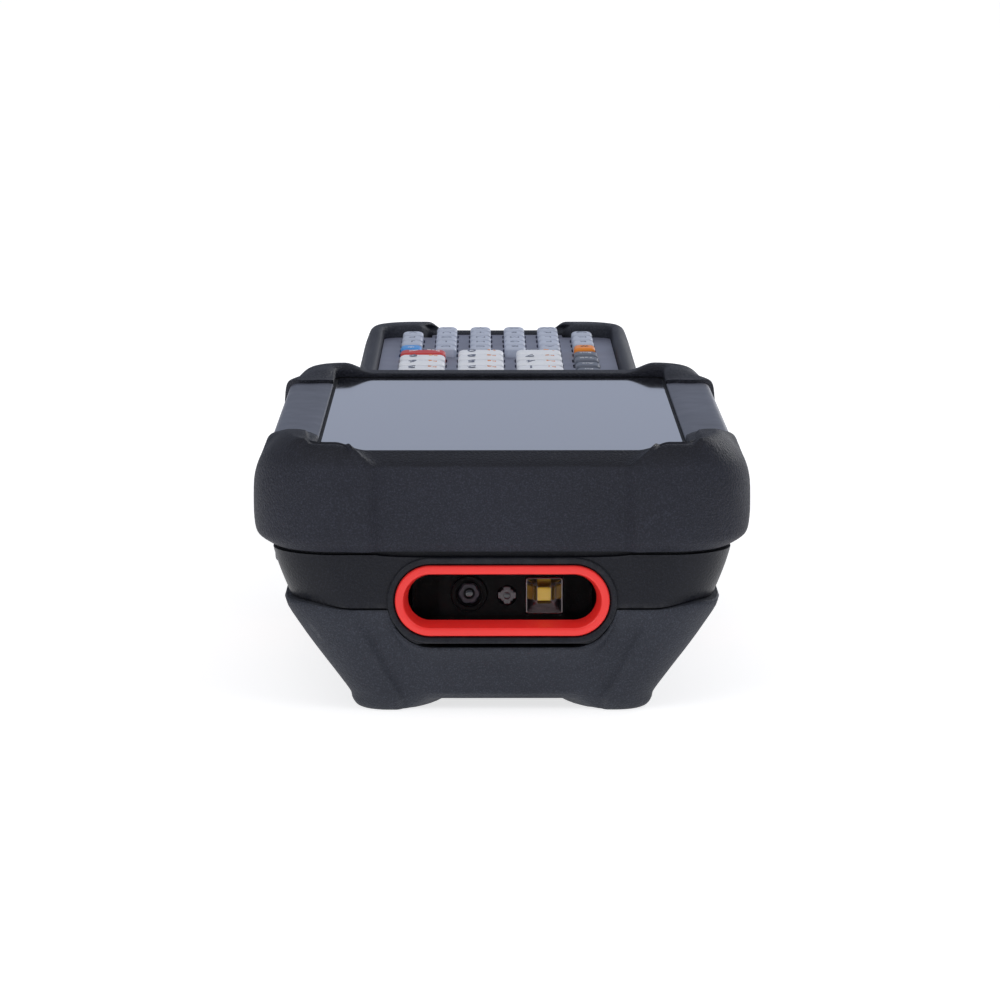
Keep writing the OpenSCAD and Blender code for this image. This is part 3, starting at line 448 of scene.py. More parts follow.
REAR_BAR_PROFILE = [(0, 43.35), (0, 43.9), (0.04, 44.02), (0.2, 44.06), (0.42, 44.06), (0.58, 43.9),
                    (0.8, 42.8), (0.95, 41), (1, 39), (1, 34), (1, 30), (0.98, BUMPER_BOTTOM)]


def side_s(y):
    return 2 + (y - FRONT_CORNER) / (HEAD_L - REAR_CORNER - FRONT_CORNER)


def side_y(s):
    return mix(FRONT_CORNER, HEAD_L - REAR_CORNER, s - 2)


def head_half_w(y, proud):
    flare = (BUMPER_W / 2 - RAIL_W / 2 - PROUD) * (1 - ease(FRONT_CORNER, FRONT_JOINT, y))
    return RAIL_W / 2 + proud + flare + 0.3 * ease(REAR_JOINT - 2, 101, y)


def outer_xy(s, proud):
    w = BUMPER_W / 2 if s < 2 else head_half_w(side_y(s) if s < 3 else HEAD_L, proud)
    x, y = outline(s, w, 0, HEAD_L, FRONT_CORNER, REAR_CORNER)
    if s < 2:
        y += BAR_SETBACK * (1 - ease(19.4, 22.6, x))
    return x, y


def inner_xy(s):
    w = VIEW_W / 2
    y0, y1 = VIEW_FRONT + GLASS_CORNER, VIEW_REAR - GLASS_REAR_CORNER
    if s < 1:
        return s * (w - GLASS_CORNER), VIEW_FRONT
    if s < 1.5:
        a = math.radians((s - 1) * 180)
        return w - GLASS_CORNER + GLASS_CORNER * math.sin(a), y0 - GLASS_CORNER * math.cos(a)
    if s < 2:
        return w, mix(y0, FRONT_CORNER, (s - 1.5) * 2)
    if s < 3:
        return w, min(side_y(s), y1)
    if s < 4:
        a = math.radians((s - 3) * 90)
        return w - GLASS_REAR_CORNER * (1 - math.cos(a)), y1 + GLASS_REAR_CORNER * math.sin(a)
    return (5 - s) * (w - GLASS_REAR_CORNER), VIEW_REAR


def joint_shift(a, y):
    arc = 3.2 * (1 - (2 * a - 1) ** 2)
    return (arc * ease(FRONT_CORNER, FRONT_JOINT, y) * (1 - ease(REAR_JOINT, HEAD_L - REAR_CORNER, y))
            * (1 - 2 * ease(FRONT_JOINT + 4, REAR_JOINT - 4, y)))


def head_profile(s, proud):
    x, y = outer_xy(s, proud)
    raised = [(q[0], q[1] + (proud if 0 < j < 7 else 0)) for j, q in enumerate(RAIL_PROFILE)]
    if s < 2:
        return mix_rows(BAR_PROFILE, PAD_PROFILE, ease(20.5, 25.5, x))
    if s < 2.5:
        return mix_rows(PAD_PROFILE, raised, ease(FRONT_CORNER, FRONT_JOINT, y))
    if s < 4:
        return mix_rows(raised, REAR_PAD_PROFILE, ease(REAR_JOINT + 1, 103, y))
    return mix_rows(REAR_BAR_PROFILE, REAR_PAD_PROFILE, ease(25, 30.5, x))


def ring_point(s, share, z, o, i):
    x, y = mix(i[0], o[0], share), mix(i[1], o[1], share)
    return Vector((x, y + joint_shift(share, y) if 2 <= s < 3 else y, z))


def head_outer_row(s, proud):
    o, i = outer_xy(s, proud), inner_xy(s)
    row = [ring_point(s, q[0], q[1], o, i) for q in head_profile(s, proud)]
    for p in row:
        if s < 2.3 and p.z > 45.4:
            p.z += ease(31.6, 32.9, p.x) - 1
    return smooth_row(row, 5)


def ring_t(s):
    if s < 2:
        return mix(3, 5.2, ease(20, 26, s * 26.5))
    if s < 3:
        y = side_y(s)
        return mix(5.2, 3, ease(FRONT_CORNER, FRONT_JOINT, y)) + 1.6 * ease(REAR_JOINT, 104, y)
    return mix(4.6, 3, ease(4, 4.3, s))


def head_inner_row(s, proud):
    o, i = outer_xy(s, proud), inner_xy(s)
    length = math.hypot(o[0] - i[0], o[1] - i[1])
    t = ring_t(s) + (proud if 2 <= s < 3 else 0)
    far, near = (length - t) / length, 1.15 / length
    places = [(near, 43.35), (near, 41.3), (mix(near, far, 0.5), 40.8), (far, 39.4), (far, 35),
              (far, BUMPER_BOTTOM)]
    return [ring_point(s, q[0], q[1], o, i) for q in places]


def through_centre(half):
    return [flipped(r) for r in half[:0:-1]] + half


def keep_in(obj, node):
    """Pulls the points that a smooth curve carried past the node's box back onto it."""
    lo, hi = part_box(node)
    for v in obj.data.vertices:
        v.co = Vector(min(max(c, a), b) for c, a, b in zip(v.co, lo, hi))
    return obj


def head_part(name, node, mat, stops, proud, arrange):
    """One moulding of the ring. arrange turns the rows of the right side into the whole part's."""
    outer, inner = (arrange([row(s, proud) for s in stops]) for row in (head_outer_row, head_inner_row))
    show(keep_in(wall_mesh(name, outer, inner, False), node), mat, node)


def build_head_ring():
    front, rear = side_s(FRONT_JOINT), side_s(REAR_JOINT)
    stops = [s for s in spread([0, 1, 2, front], 0.02) if s < 2] + spread([2, front], 0.006)
    head_part("nose_bumper_rubber", "nose_bumper", RUBBER, stops, PROUD, through_centre)
    stops = spread([rear, 3], 0.008) + spread([3, 4, 5], 0.02)[1:]
    head_part("rear_bumper_rubber", "rear_bumper", RUBBER, stops, PROUD,
              lambda rows: rows + [flipped(r) for r in rows[-2::-1]])
    stops = spread([side_s(FRONT_JOINT + JOINT_GAP), side_s(REAR_JOINT - JOINT_GAP)], 0.012)
    head_part("right_rail_moulding", "right_rail", RAIL, stops, 0, list)
    head_part("left_rail_moulding", "left_rail", RAIL, stops, 0, lambda rows: [flipped(r) for r in rows])


def build_glass_border():
    """The dark printed edge of the glass, beside the mouldings."""
    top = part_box("touch_glass")[1][2] / MM
    share = 1 - 2 * BORDER_W / VIEW_W
    middle = (VIEW_FRONT + VIEW_REAR) / 2
    outer, inner = [], []
    for s in spread([0, 1, 2, 3, 4, 5], 0.06):
        x, y = inner_xy(s)
        for rows, k in ((outer, 1.003), (inner, share)):
            rows.append([Vector((x * k, middle + (y - middle) * k, z))
                         for z in (top + BORDER_PROUD, top - BORDER_SUNK)])
    border = wall_mesh("glass_printed_border", full_ring(outer), full_ring(inner), True)
    detail(border, BLACK, MOVING["touch_glass"])


# ---------------- cutters
def add_between(bm, loop, place, near, far):
    """A closed solid between two copies of a loop. place gives a point from the loop's own and a position."""
    a, b = ([bm.verts.new(to_frame(place(u, v, at))) for u, v in loop] for at in (near, far))
    bm.faces.new(a[::-1])
    bm.faces.new(b)
    join_edges(bm, a, b, True)


def add_prism(bm, points, z0, z1):
    """A closed upright prism over a loop of (x, depth) points."""
    add_between(bm, points, lambda x, y, z: (x, y, z), z0, z1)


def round_rect_loop(cx, cy, w, length, r):
    loop = []
    for sx, sy, start in ((1, -1, -90), (1, 1, 0), (-1, 1, 90), (-1, -1, 180)):
        for a in arc(start, 90, 8):
            loop.append((cx + sx * (w / 2 - r) + r * math.cos(a),
                         cy + sy * (length / 2 - r) + r * math.sin(a)))
    return loop


def circle_loop(cx, cy, r):
    return [(cx + r * math.cos(a), cy + r * math.sin(a)) for a in full_turn(40)]


def stadium_points(half, r, steps):
    """A stadium round the scan window's centre, as (x, z) points."""
    return [(sx * half + r * math.cos(a), SCAN_H + r * math.sin(a))
            for sx, start in ((1, -90), (-1, 90)) for a in arc(start, 180, steps)]


def add_stadium(bm, length, height, y0, y1):
    add_between(bm, stadium_points((length - height) / 2, height / 2, 28), lambda x, z, y: (x, y, z), y0, y1)


def evaluated_mesh(obj):
    """A new mesh of an object as its modifiers or its font leave it."""
    bpy.context.view_layer.update()
    return bpy.data.meshes.new_from_object(obj.evaluated_get(bpy.context.evaluated_depsgraph_get()))


def cut_away(obj, bm):
    """Cuts a bmesh of closed cutters out of an object, then removes them."""
    bmesh.ops.recalc_face_normals(bm, faces=bm.faces)
    cutter = mesh_object("cutter", bm)
    mod = obj.modifiers.new("cut", "BOOLEAN")
    mod.operation = "DIFFERENCE"
    mod.solver = "EXACT"
    mod.object = cutter
    made = evaluated_mesh(obj)
    obj.modifiers.clear()
    obj.data = made
    bpy.data.objects.remove(cutter)
    marked = bmesh.new()
    marked.from_mesh(made)
    mark_sharp(marked, SHARP_DEG)
    marked.to_mesh(made)
    marked.free()


# ---------------- head shell and lower cover
TRIGGER_DEPTH, TRIGGER_L, ROCKER_DEPTH, ROCKER_L = 78.0, 27.0, 45.0, 21.0
SIDE_KEY_H, SIDE_KEY_Z, SIDE_KEY_PLAY = 6.0, 23.1, 0.8
SHELL_W, SHELL_TAPER, SHELL_GROOVE, RIM_W = 38.3, 3.0, 1.0, 1.3
LIP_W, LIP_FRONT, LIP_ARC_W, LIP_ARC_H, LIP_BLEND, LIP_GAP = 36.35, 17.7, 7.3, 8.1, 1.2, 0.25


def arc_z(x):
    """The lip's arc round the scan window's rim."""
    u = max(0, x - (BEZEL_L - BEZEL_H) / 2) / LIP_ARC_W
    return SCAN_H - (LIP_ARC_H * math.sqrt(1 - u * u) if u < 1 else 0)


def soft_min(a, b, k):
    """The lower of two heights, with a rounded corner between them."""
    h = min(1, max(0, 0.5 + 0.5 * (b - a) / k))
    return mix(b, a, h) - k * h * (1 - h)


def lip_z(x):
    return soft_min(mix(LIP_FRONT, SEAM_H, ease(25, 35, x)), arc_z(x), LIP_BLEND)


def shell_row(s, inset):
    x0 = outline(s, SHELL_W - SHELL_TAPER, SHELL_FRONT, HEAD_L, 10, HEAD_CORNER)[0]
    bottom = lip_z(x0 + LIP_GAP) + LIP_GAP if s < 2 else SEAM_H
    row = []
    for q in (0, 0.055, 0.062, 0.09, 0.15, 0.3, 0.42, 0.55, 0.68, 0.8, 0.9, 1):
        z = mix(SHELL_TOP, bottom + 0.05, q)
        groove = SHELL_GROOVE if q < 0.06 and inset == 0 else 0
        cut = inset + groove
        w = SHELL_W - SHELL_TAPER * ((SHELL_TOP - max(z, SEAM_H)) / (SHELL_TOP - SEAM_H)) ** 1.3 - cut
        x, y = outline(s, w, SHELL_FRONT + cut, HEAD_L - cut, 10 - cut, HEAD_CORNER - cut)
        row.append(Vector((x, y, z)))
    return row


def build_head_shell():
    stops = spread([0, 1, 2], 0.02) + spread([2, 3], 0.05)[1:] + spread([3, 4, 5], 0.05)[1:]
    shell = wall_mesh("head_shell_moulding", full_ring([shell_row(s, 0) for s in stops]),
                      full_ring([shell_row(s, WALL + 0.2) for s in stops]), True)
    bm = bmesh.new()
    add_stadium(bm, BEZEL_L + 0.4, BEZEL_H + 0.4, 0, 3.4)
    cut_away(shell, bm)
    bm = bmesh.new()
    add_stadium(bm, BEZEL_L - 1.2, BEZEL_H - 1.2, 0, 6)
    for side, depth, length in ((1, TRIGGER_DEPTH, TRIGGER_L), (-1, TRIGGER_DEPTH, TRIGGER_L),
                                (-1, ROCKER_DEPTH, ROCKER_L)):
        pocket = round_rect_loop(depth, SIDE_KEY_Z, length + SIDE_KEY_PLAY, SIDE_KEY_H + SIDE_KEY_PLAY, 2.2)
        add_between(bm, pocket, lambda y, z, x: (x, y, z), side * 31, side * 43)
    cut_away(shell, bm)
    show(keep_in(shell, "head_shell"), SHELL, "head_shell")


def stadium_sweep(name, profile, radius):
    """Sweeps a loop of (offset inwards, depth) points round the scan window."""
    bm = bmesh.new()
    half = (BEZEL_L - BEZEL_H) / 2
    hoops = [[bm.verts.new(to_frame((x, y, z))) for x, z in stadium_points(half, radius - o, 40)]
             for o, y in profile]
    for a, b in zip(hoops, hoops[1:] + hoops[:1]):
        join_edges(bm, a, b, True)
    return finish_mesh(name, bm, 30)


def build_bezel():
    rim = stadium_sweep("scan_rim", [(0, 3.2), (0, 2.5), (0.08, 2.3), (0.25, 2.2), (0.8, 2.2),
                                     (0.98, 2.28), (1.1, 2.45), (1.1, 3.2)], BEZEL_H / 2 + RIM_W)
    detail(rim, SHELL, "root")
    ring = stadium_sweep("scan_bezel_ring", [
        (0, 3.3), (0, 2.35), (0.06, 2.16), (0.2, 2.03), (0.4, 2.0), (1.0, 2.0), (1.2, 2.03), (1.34, 2.14),
        (1.42, 2.35), (1.76, 4.1), (2.1, 5.8), (1.3, 5.85), (1.3, 7.35), (0.7, 7.35), (0.7, 3.3)],
        BEZEL_H / 2)
    show(ring, RED, "scan_bezel")


HEAD_SECTION = [(0.25, SEAM_H), (0, SEAM_H - 0.5), (2.6, 14), (5.4, 10), (8.2, 6), (10.2, 3.6),
                (11.2, 2.5), (12.6, 1.8), (19.6, 1.4), (23.7, BELLY_HEAD)]
FOOT_SECTION = [(0.25, SEAM_H), (0, SEAM_H - 0.5), (2.6, 14), (5.4, 10), (8.4, 6), (10.9, 2.4),
                (11.3, 1), (12.4, 0), (19.6, 0), (23.7, BELLY_HEAD)]
GRIP_SECTION = [(0.1, SEAM_H), (0, SEAM_H - 0.5), (0.5, 15.2), (1.4, 13), (2.7, 11), (3.9, 9.7),
                (4.9, 8.8), (5.9, 8.2), (7, BELLY_GRIP), (14, BELLY_GRIP)]
HEEL_SECTION = [(0.1, SEAM_H), (0, SEAM_H - 0.5), (0.7, 14), (1.8, 10), (3.2, 6), (4.4, 3),
                (5.2, 1.3), (6.4, 0.3), (7.6, 0), (14, 0)]
LEVEL_FRONT = [0.2, 0, 0, 0, 0, 0, 0.6, 1.6, 8, 12]
LEVEL_REAR = [0.1, 0, 0.2, 0.6, 1.2, 2, 2.8, 3.8, 5, 12]
LEVEL_CORNER = [9, 9, 8.6, 8, 7.2, 6.6, 6, 5, 3, 2]
LEVEL_TAIL_CORNER = [12, 12, 12, 11.6, 11, 10.4, 9.6, 8.6, 7.4, 2]
BELLY_BOW = 2.5
EDGE_Z = 2.5


def cover_lip_w(y):
    if y < HEAD_L - HEAD_CORNER:
        return LIP_W
    if y < HEAD_L:
        across = math.sqrt(HEAD_CORNER ** 2 - (y - HEAD_L + HEAD_CORNER) ** 2)
        return max(GRIP_SEAM_W, LIP_W - HEAD_CORNER + across)
    return GRIP_SEAM_W


def cover_section(y, foot):
    head = mix_rows(HEAD_SECTION, FOOT_SECTION, foot)
    grip = mix_rows(GRIP_SECTION, HEEL_SECTION, ease(HEEL_FRONT - 3, HEEL_FRONT + 1.5, y))
    return [(mix(h[0], g[0], ease(90, HEAD_L + 2, y)), mix(h[1], g[1], ease(44, 86, y)))
            for h, g in zip(head, grip)]


def cover_front_z(z, x0):
    if z >= SEAM_H - 0.5:
        return lip_z(x0) - (SEAM_H - z)
    return mix(EDGE_Z, lip_z(x0) - 0.5, (z - EDGE_Z) / (SEAM_H - 0.5 - EDGE_Z))


def cover_front_row(s, t):
    foot = ease(0.62, 0.86, s) if s < 1 else 1
    x0 = outline(s, LIP_W, 0, 100, 9, 9)[0]
    row = []
    for j, (inset, level) in enumerate(cover_section(0, foot)):
        z = cover_front_z(level, x0) if level > EDGE_Z else level
        r = max(0.5, LEVEL_CORNER[j] - t * 0.6)
        x, y = outline(s, LIP_W - inset - t,
                       LOWER_FRONT + FRONT_LEAN * (SEAM_H - max(z, 0)) + LEVEL_FRONT[j] + t, 200, r, 9)
        if s < 1 and 0 < j < 8:
            y += 1.1 * (1 - ease(0.86, 0.92, s)) * ease(0, 3, lip_z(x0) - z)
        if j == 9:
            y += BELLY_BOW * ((x / 12) ** 2 - 1)
        row.append(Vector((x, y, max(z, BELLY_HEAD + t) if t > 0 else z)))
    return row


def cover_side_row(y, t):
    section = cover_section(y, 1 - ease(20, 25, y))
    belly = section[-1][1]
    row = []
    for j, (inset, z) in enumerate(section):
        first = (LOWER_FRONT + FRONT_LEAN * (SEAM_H - z) + LEVEL_FRONT[j]
                 + max(0.5, LEVEL_CORNER[j] - t * 0.6) + t)
        row.append(Vector((cover_lip_w(y) - inset - t, max(y, first), max(z, belly + t) if t > 0 else z)))
    return row


def cover_tail_row(s, t):
    row = []
    for j, (inset, z) in enumerate(HEEL_SECTION):
        x, y = outline(s, GRIP_SEAM_W - inset - t, 0, BODY_L - 0.4 - LEVEL_REAR[j] - t, 5,
                       max(0.8, LEVEL_TAIL_CORNER[j] - t))
        if j == 9:
            y -= BELLY_BOW * ((x / 14) ** 2 - 1)
        row.append(Vector((x, y, max(z, t) if t > 0 else z)))
    return row


def cover_half(t, steps):
    rows = [cover_front_row(s, t) for s in spread([0, 1, 1.8], 0.025)]
    depths = spread([12, 20, 26, 44, 86, HEAD_L - HEAD_CORNER - 1], 2.2)
    depths += spread([HEAD_L - HEAD_CORNER, HEAD_L + 2], 0.6) + spread([HEAD_L + 3, HEEL_FRONT - 4], 3.2)
    depths += spread([HEEL_FRONT - 3, HEEL_FRONT + 2.5], 0.5) + [HEEL_FRONT + 5]
    rows += [cover_side_row(y, t) for y in depths]
    rows += [cover_tail_row(s, t) for s in spread([3, 4, 5], 0.08)]
    return [smooth_row(row, steps) for row in rows]


def close_floor(bm, ends, half_count):
    """Joins the ring's last points across the belly, each to its mirror image."""
    ring = len(ends)
    for i in range(half_count - 1):
        a, b = ends[i], ends[i + 1]
        c, d = ends[ring - i - 1], ends[(ring - i) % ring]
        bm.faces.new(loop_of(a, b, c, d))


def bowl_mesh(name, outer_half, inner_half):
    bm = bmesh.new()
    out = add_grid(bm, full_ring(outer_half), True)
    inn = add_grid(bm, full_ring(inner_half), True)
    join_edges(bm, [r[0] for r in out], [r[0] for r in inn], True)
    close_floor(bm, [r[-1] for r in out], len(outer_half))
    close_floor(bm, [r[-1] for r in inn], len(inner_half))
    return finish_mesh(name, bm)


BATTERY_FRONT, BATTERY_REAR, BATTERY_W = 126.0, 200.0, 40.0
LATCH_W, LATCH_L, LATCH_FRONT, LATCH_TRAVEL = 18.0, 6.0, 201.6, 2.4
POSTS = [(side * x, y, belly) for x, y, belly in (
    (17.2, 30.0, BELLY_HEAD), (20.0, 84.0, BELLY_GRIP), (17.0, HEAD_L + 4.4, BELLY_GRIP)) for side in (-1, 1)]
STRAP_X, STRAP_DEPTH, CAMERA_DEPTH, SPEAKER_DEPTH, DOCK_Z = 13.0, 98.0, 37.0, 66.0, 13.0


def build_lower_cover():
    cover = bowl_mesh("lower_cover_moulding", cover_half(0, 4), cover_half(WALL, 1))
    bm = bmesh.new()
    add_prism(bm, round_rect_loop(0, (BATTERY_FRONT + BATTERY_REAR) / 2, BATTERY_W + 0.8,
                                  BATTERY_REAR - BATTERY_FRONT + 0.8, 3.4), -1, 16.9)
    latch_end = LATCH_FRONT + LATCH_L + LATCH_TRAVEL + 0.3
    add_prism(bm, round_rect_loop(0, (LATCH_FRONT - 0.3 + latch_end) / 2, LATCH_W + 0.6,
                                  latch_end - LATCH_FRONT + 0.3, 1.5), 2, 16.8)
    add_prism(bm, [(-11.3, BODY_L - 12), (11.3, BODY_L - 12), (11.3, BODY_L + 8), (-11.3, BODY_L + 8)],
              DOCK_Z - 3.3, DOCK_Z + 3.3)
    for x, y, belly in POSTS:
        add_prism(bm, circle_loop(x, y, 2.6), belly - 1, belly + 1.1)
    for side in (-1, 1):
        add_prism(bm, circle_loop(side * STRAP_X, STRAP_DEPTH, 2.5), 0, 14)
    add_prism(bm, circle_loop(0, CAMERA_DEPTH, 7.6), 0, 8)
    for i in range(-2, 3):
        add_prism(bm, round_rect_loop(0, SPEAKER_DEPTH + 3 * i, 16 - 1.6 * abs(i), 1.3, 0.6), 0, 12)
    cut_away(cover, bm)
    bm = bmesh.new()
    for x, y, belly in POSTS:
        add_prism(bm, circle_loop(x, y, 1.25), belly, belly + 20)
    cut_away(cover, bm)
    show(keep_in(cover, "lower_cover"), GRIP, "lower_cover")


# ---------------- handle
FRAME_SIDE = [(1, SEAM_H + 0.05), (0.3, 24), (0, 30), (0.6, 35.4), (1.3, 37.4), (2.1, 38.9),
              (3, 39.7), (4, 39.9), (4.7, 39.4), (4.8, 36.6)]
TAIL_PAD_LIFT = 0.7
FRAME_INNER = [(3.2, SEAM_H + 0.05), (2.5, 22), (2.2, 26), (2.2, 30), (2.5, 33), (2.8, 34.6),
               (3.1, 35.8), (3.4, 36.3), (3.7, 36.6), (4.1, 36.6)]
FRAME_TAIL = [0.4, 0, 0, 1.8, 3.4, 5.2, 7.2, 13, 14.2, 14.4]
FRAME_TAIL_IN = [2.6, 2.3, 2.4, 3, 5, 7.5, 10, 12, 13, 13.8]
FRAME_HEAD = [0, 0, 0, 0, 0, 0.2, 0.7, 2.1, 2.5, 2.6]
FRAME_HEAD_IN = [2, 2, 2, 2, 2, 2, 2, 2, 2, 2.1]
FRAME_TAIL_CORNER = [12, 12, 12, 11.5, 11, 9.5, 8.5, 4.5, 4, 4]
BAY_SHARE = [0, 0, 0, 0, 0, 0, 0, 1, 1, 1]
BAY_SHARE_IN = [0, 0, 0, 0, 0.2, 0.4, 0.75, 1, 1, 1]
BAY_HALF_W, BAY_L = 14.6, 5.2


def rim_lift(s):
    if s < 2.8:
        return 0
    if s < 3:
        return TAIL_PAD_LIFT * ease(2.8, 2.93, s)
    return TAIL_PAD_LIFT if s < 4 else mix(TAIL_PAD_LIFT, -1.3, ease(4.17, 4.37, s))


def frame_row(s, inner):
    row = []
    for j, (inset, z) in enumerate(FRAME_INNER if inner else FRAME_SIDE):
        y0 = HEAD_L + 0.05 + (FRAME_HEAD_IN if inner else FRAME_HEAD)[j]
        y1 = BODY_L - (FRAME_TAIL_IN if inner else FRAME_TAIL)[j]
        r = max(2, FRAME_TAIL_CORNER[j] - 2) if inner else FRAME_TAIL_CORNER[j]
        x, y = outline(s, GRIP_HALF - inset, y0, y1, 0.8, r)
        if s >= 4:
            bay = BAY_L * (1 - ease(BAY_HALF_W, BAY_HALF_W + 1.8, x))
            y += bay * (BAY_SHARE_IN if inner else BAY_SHARE)[j]
        if not inner and 5 <= j <= 8:
            z -= 1.3 * (1 - ease(1.5, 2.15, s))
        if not inner and 4 <= j <= 8:
            z += rim_lift(s) * (0.4 if j == 4 else 1)
        row.append(Vector((x, y, z)))
    return row


def grip_groove(p):
    """Shallow finger grooves, pressed into the handle's side walls."""
    along = ease(135, 140, p.y) * (1 - ease(196, 201, p.y))
    up = ease(21, 23.5, p.z) * (1 - ease(31.5, 34, p.z))
    wave = ease(0.35, 0.75, 0.5 + 0.5 * math.cos(2 * math.pi * (p.y + 0.5 * p.z) / 5.6))
    return 0.55 * along * up * wave


def build_handle():
    stops = spread([0, 1], 0.05) + spread([1, 2], 0.25)[1:] + spread([2, 3], 0.006)[1:]
    stops += spread([3, 4, 5], 0.02)[1:]
    outer = []
    for s in stops:
        row = smooth_row(frame_row(s, False), 6)
        for p in row:
            if 2 < s < 3 and p.x > GRIP_HALF - 2:
                p.x -= grip_groove(p)
        outer.append(row)
    inner = [frame_row(s, True) for s in stops]
    handle = wall_mesh("keypad_frame_moulding", full_ring(outer), full_ring(inner), True)
    show(keep_in(handle, "keypad_frame"), GRIP, "keypad_frame")


# ---------------- stacked pads: keys, triggers, battery
def crown_drop(w, u):
    """How far the crowned top of a cap of width w lies below its middle line."""
    return 2 * w - math.sqrt((2 * w) ** 2 - u * u)


def add_stack(bm, place, w, length, r, levels, crowned=False):
    """A closed pad of round-cornered loops. Each level is (inset, height)."""
    rings = []
    for inset, h in levels:
        loop = round_rect_loop(0, 0, w - 2 * inset, length - 2 * inset, max(0.12, r - inset))
        bent = crowned and h > CROWN_ABOVE
        rings.append([bm.verts.new(to_frame(place(u, v, h - (crown_drop(w, u) if bent else 0))))
                      for u, v in loop])
    bm.faces.new(rings[0])
    for a, b in zip(rings, rings[1:]):
        join_edges(bm, a, b, True)
    bm.faces.new(rings[-1])


def fillet(h, r, steps=4):
    """Levels that round a pad's top edge of radius r, up to height h."""
    return [(r * (1 - math.cos(a)), h - r * (1 - math.sin(a))) for a in arc(0, 90, steps)]


KEY_FOOT, KEY_TOP, SKIRT_W, SKIRT_H, CROWN_ABOVE = 35.9, 39.8, 0.65, 0.7, 37.5


def add_key(bm, x, depth, w, length, top):
    half = min(w, length) / 2
    levels = [(-SKIRT_W, KEY_FOOT), (-SKIRT_W, KEY_FOOT + SKIRT_H), (0, KEY_FOOT + SKIRT_H), (0, 38.2)]
    levels += fillet(top, 0.5) + [(0.8, top), (1.2, top), (half * 0.75, top), (half - 0.13, top)]
    add_stack(bm, lambda u, v, h: (x + u, depth + v, h), w, length, 1.1, levels, True)


def text_mesh(words, size):
    """A legend as a flat mesh in millimetres round its own centre."""
    curve = bpy.data.curves.new("legend", "FONT")
    curve.body = words
    curve.size = size
    curve.align_x = "CENTER"
    curve.align_y = "CENTER"
    curve.resolution_u = 3
    obj = new_object("legend", curve)
    mesh = evaluated_mesh(obj)
    bpy.data.objects.remove(obj)
    return mesh


def add_legend(bm, words, size, key, dx=0.0, dy=0.0):
    """Lays a legend on a key's crowned top, turned to read from behind the handle."""
    x, depth, w, _, top = key
    mesh = text_mesh(words, size)
    flat = bmesh.new()
    flat.from_mesh(mesh)
    bmesh.ops.remove_doubles(flat, verts=flat.verts, dist=0.001)
    sides = {}
    for sign, lift in ((1, LEGEND_PROUD), (-1, -LEGEND_SUNK)):
        for v in flat.verts:
            u, t = dx - v.co.x, dy - v.co.y
            sides[sign, v.index] = bm.verts.new(to_frame((x + u, depth + t, top - crown_drop(w, u) + lift)))
    for face in flat.faces:
        up = [sides[1, v.index] for v in face.verts]
        down = [sides[-1, v.index] for v in face.verts]
        bm.faces.new(up)
        bm.faces.new(down[::-1])
    for edge in flat.edges:
        if len(edge.link_faces) == 1:
            a, b = (v.index for v in edge.verts)
            bm.faces.new((sides[1, a], sides[1, b], sides[-1, b], sides[-1, a]))
    flat.free()
    bpy.data.meshes.remove(mesh)


LEGEND_PROUD, LEGEND_SUNK = 0.03, 0.12
LETTER_PITCH, ROW_PITCH = 7.24, 8.4
LETTER_X = [(k - 2.5) * LETTER_PITCH for k in range(6)]
ROW_DEPTHS = [221.1 - ROW_PITCH * k for k in range(5)]
NUMBER_DEPTHS = (178.0, 169.4, 160.0, 150.6)
NUMBER_X = (-15.5, -3.55, 8.4)
SIDE_KEY_X, POWER_X, NAV_DEPTH, NAV_STEP_X, NAV_STEP_Y, POWER_STEP_Y = 18.1, 19.6, 133.6, 12.6, 7.9, 7.4
LETTER_CAP, NUMBER_CAP, SIDE_CAP = (4.4, 6.0), (9.3, 6.0), (4.9, 6.0)


def build_key(node, places, mat, legends):
    """One keypad node: its caps, and its printed legends as (words, size, dx, dy, ink) lists per cap."""
    bm = bmesh.new()
    for place in places:
        add_key(bm, *place)
    show(finish_mesh(node + "_cap", bm, 50), mat, node)
    inks = {}
    for place, words in zip(places, legends):
        for text, size, dx, dy, ink in words:
            add_legend(inks.setdefault(ink.name, (ink, bmesh.new()))[1], text, size, place, dx, dy)
    for ink_name, (ink, ink_bm) in inks.items():
        bmesh.ops.recalc_face_normals(ink_bm, faces=ink_bm.faces)
        detail(mesh_object(node + "_" + ink_name, ink_bm), ink, MOVING[node])


